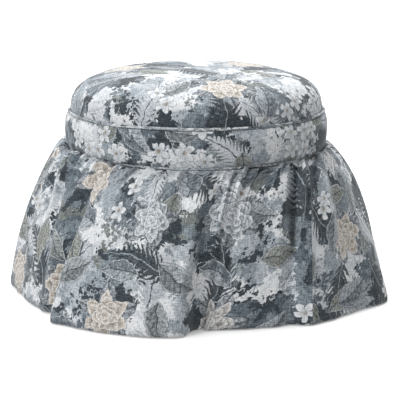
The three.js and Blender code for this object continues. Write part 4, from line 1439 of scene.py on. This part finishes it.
def sew_hem(stitches, points, up):
    """Adds a row of stitches along a panel's turned-up hem."""
    columns = range(points.shape[1])
    height = sizes().hem_depth
    line = np.array([line_at(height, up[::-1, i], points[::-1, i]) for i in columns])
    run = run_of(line[None], 1)[0]
    places = np.arange(STITCHES_START, run[-1] - STITCHES_START, sizes().stitch_pitch)
    centre = line_at(places, run, line)
    ahead = line_at(places + 0.0008, run, line)
    for middle, toward in zip(centre, ahead):
        direction = Vector(toward - middle).normalized()
        out = Vector((0, 0, 1)).cross(direction)
        if out.dot(Vector((middle[0], middle[1], 0))) < 0:
            out.negate()
        turn = direction.to_track_quat("Z", "Y").to_matrix().to_4x4()
        turn.translation = Vector(middle) + out * 0.0001
        bmesh.ops.create_cone(
            stitches,
            cap_ends=True,
            segments=5,
            radius1=0.00026,
            radius2=0.00032,
            depth=sizes().stitch_pitch * STITCH_SHARE,
            matrix=turn,
        )


# Under the skirt

class STOOL_OT_lining(Operator):
    """Makes the skirt's lining, the dust cover and its staples"""

    bl_idname = "stool.lining"
    bl_label = "Lining and dust cover"

    def execute(self, context):
        self.hang_lining()
        self.lay_dust_cover()
        self.staple_dust_cover()
        return {"FINISHED"}

    def hang_lining(self):
        """A loose round of cream cloth, a little shorter than the skirt."""
        low, high = LINING_BOX
        generator = np.random.default_rng(SEEDS["lining"])
        turn = np.linspace(0, TURN, LINING_COLUMNS + 1)
        drop = np.linspace(0, 1, LINING_ROWS)[:, None] ** 1.2
        top = high[2] - LINING_UNDER_TOP
        reach = half_across(LINING_BOX) - LINING_IN_FROM_FOLDS
        start = half_across(RING_BOX) + LINING_OUT_OF_RING
        radius = start + (reach - start) * bell(drop)
        folds = soft_waves(generator, turn, (13, 19, 26, 34))
        fine = soft_waves(generator, turn, (61, 78, 93))
        out = radius + (folds - 1.1) * LINING_FOLD * drop ** 0.7
        out = out + fine * LINING_RIPPLE * (1 - drop) * np.minimum(drop * 8, 1)
        points = spun(out, turn, top + (low[2] - top) * drop)
        around = run_of(points, 1)[-1]
        down = run_of(points, 0)
        lining = grid_piece("lining", points, laid_flat(around, down), closed=True)
        solidified(lining, LINING_THICKNESS)
        dressed(lining, "lining_cloth")
        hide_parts("skirt_lining")

    def lay_dust_cover(self):
        """Black cloth stapled flat under the ring, sagging a little in the middle."""
        turn = np.linspace(0, TURN, DUST_COLUMNS + 1)
        edge = half_across(DUST_BOX)
        radius = edge * (1 - np.linspace(0, 1, DUST_ROWS))[:, None]
        sag = -DUST_SAG * eased((DUST_SAG_RADIUS - radius) / 0.1)
        points = spun(radius, turn, DUST_BOX[1][2] + sag)
        middle = Vector((0, 0, 0.4))
        cover = grid_piece("dust_cloth", points, points[..., :2], closed=True, outward=middle)
        solidified(cover, DUST_THICKNESS, inwards=False)
        dressed(cover, "dust_cambric")
        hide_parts("dust_cover")

    def staple_dust_cover(self):
        """Crowns of the staples that hold the dust cover."""
        staples = bmesh.new()
        edge = half_across(DUST_BOX) - STAPLE_FROM_EDGE
        height = DUST_BOX[0][2] - FIT
        generator = np.random.default_rng(SEEDS["staples"])
        shifts = generator.uniform(-0.03, 0.03, STAPLES)
        for turn in np.arange(STAPLES) * (TURN / STAPLES) + shifts:
            made = bmesh.ops.create_cube(staples, size=1.0)["verts"]
            bmesh.ops.scale(staples, vec=STAPLE_SIZE, verts=made)
            rotation = Matrix.Rotation(turn + generator.uniform(-0.12, 0.12), 3, "Z")
            bmesh.ops.rotate(staples, cent=(0, 0, 0), matrix=rotation, verts=made)
            place = (edge * math.sin(turn), -edge * math.cos(turn), height)
            bmesh.ops.translate(staples, vec=place, verts=made)
        bmesh.ops.bevel(
            staples,
            geom=staples.edges[:],
            offset=0.0002,
            segments=2,
            profile=0.5,
            affect="EDGES",
            material=-1,
        )
        mesh = meshed("dust_cover_staples", staples)
        dressed(lay_down("dust_cover_staples", mesh), "zinc_steel")


# The frame's own nodes

class STOOL_OT_frame_finishes(Operator):
    """Gives the wooden frame, the drum and their fittings their finishes"""

    bl_idname = "stool.frame_finishes"
    bl_label = "Frame finishes"

    def execute(self, context):
        finishes = {
            "leg_": "wood_upright",
            "spacer_block_": "wood_upright",
            "corner_block_": "wood_across",
            "base_ring": "plywood",
            "seat_deck": "plywood",
            "drum_wall": "cardboard",
            "tack_strip": "cardboard",
            "hanger_": "zinc_steel",
            "seat_screw_": "zinc_steel",
            "deck_screw_": "zinc_steel",
            "glide_": "nylon",
        }
        for name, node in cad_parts.items():
            wanted = [finish for start, finish in finishes.items() if name.startswith(start)]
            if name.startswith("rail_"):
                low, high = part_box(name)
                wanted = ["wood_across" if high[0] - low[0] > high[1] - low[1] else "wood_deep"]
            if not wanted:
                continue
            for slot in node.material_slots:
                slot.material = finish_named(wanted[0])
        return {"FINISHED"}


# The stage

class STOOL_OT_stage(Operator):
    """Sets the pale floor, the soft studio light and the photograph's camera"""

    bl_idname = "stool.stage"
    bl_label = "Stage"

    def execute(self, context):
        self.lay_floor()
        self.light_studio(context.scene)
        self.set_camera(context.scene)
        return {"FINISHED"}

    def lay_floor(self):
        """A wide flat floor whose surface is where the glides and hem rest."""
        shape = bmesh.new()
        bmesh.ops.create_grid(shape, x_segments=8, y_segments=8, size=14)
        mesh = meshed("studio_floor", shape)
        floor = lay_down("studio_floor", mesh)
        mesh.materials.append(finish_named("floor_paper"))
        floor.visible_diffuse = False

    def light_studio(self, scene):
        """A white room with one broad light over the back and two softer ones from the left."""
        world = bpy.data.worlds.new("studio")
        world.use_nodes = True
        background = world.node_tree.nodes["Background"]
        background.inputs["Color"].default_value = (1, 1, 1, 1)
        background.inputs["Strength"].default_value = ROOM_LIGHT
        scene.world = world
        for name, (toward, strength, spread) in SUNS.items():
            lamp = bpy.data.lights.new(name, "SUN")
            lamp.energy = strength
            lamp.angle = math.radians(spread)
            holder = bpy.data.objects.new(name, lamp)
            holder.rotation_euler = Vector(toward).to_track_quat("Z", "Y").to_euler()
            scene.collection.objects.link(holder)
        scene.view_settings.view_transform = "Standard"

    def set_camera(self, scene):
        """The photograph's long lens, a little above the stool."""
        camera = bpy.data.cameras.new("camera")
        camera.sensor_width = SENSOR_WIDTH
        camera.lens = PICTURE_FOCAL_PIXELS / PICTURE_PIXELS * SENSOR_WIDTH
        half = PICTURE_PIXELS / 2
        camera.shift_x = (half - PICTURE_AIM_ACROSS) / PICTURE_PIXELS
        camera.shift_y = (PICTURE_AIM_DOWN - half) / PICTURE_PIXELS
        holder = bpy.data.objects.new("camera", camera)
        holder.location = (0, -CAMERA_DISTANCE, CAMERA_HEIGHT)
        toward = Vector((0, 0, CAMERA_AIM_HEIGHT)) - holder.location
        holder.rotation_euler = toward.to_track_quat("-Z", "Y").to_euler()
        scene.collection.objects.link(holder)
        scene.camera = holder


class STOOL_PT_panel(Panel):
    """Lists the stool's sizes, colours and steps"""

    bl_idname = "STOOL_PT_panel"
    bl_label = "Vanity stool"
    bl_space_type = "VIEW_3D"
    bl_region_type = "UI"
    bl_category = "Stool"

    def draw(self, context):
        for holder in (context.scene.stool_sizes, context.scene.stool_colours):
            column = self.layout.column(align=True)
            for name in holder.__annotations__:
                column.prop(holder, name)
        for step in STEPS:
            self.layout.operator(step.bl_idname)


STEPS = (
    STOOL_OT_cushion,
    STOOL_OT_band,
    STOOL_OT_welts,
    STOOL_OT_skirt,
    STOOL_OT_lining,
    STOOL_OT_frame_finishes,
    STOOL_OT_stage,
)
CLASSES = (StoolSizes, StoolColours, *STEPS, STOOL_PT_panel)


def register():
    for kind in CLASSES:
        bpy.utils.register_class(kind)
    bpy.types.Scene.stool_sizes = PointerProperty(type=StoolSizes)
    bpy.types.Scene.stool_colours = PointerProperty(type=StoolColours)


def unregister():
    del bpy.types.Scene.stool_colours
    del bpy.types.Scene.stool_sizes
    for kind in reversed(CLASSES):
        bpy.utils.unregister_class(kind)


def main():
    register()
    bpy.ops.stool.cushion()
    bpy.ops.stool.band()
    bpy.ops.stool.welts()
    bpy.ops.stool.skirt()
    bpy.ops.stool.lining()
    bpy.ops.stool.frame_finishes()
    bpy.ops.stool.stage()


if __name__ == "__main__":
    main()
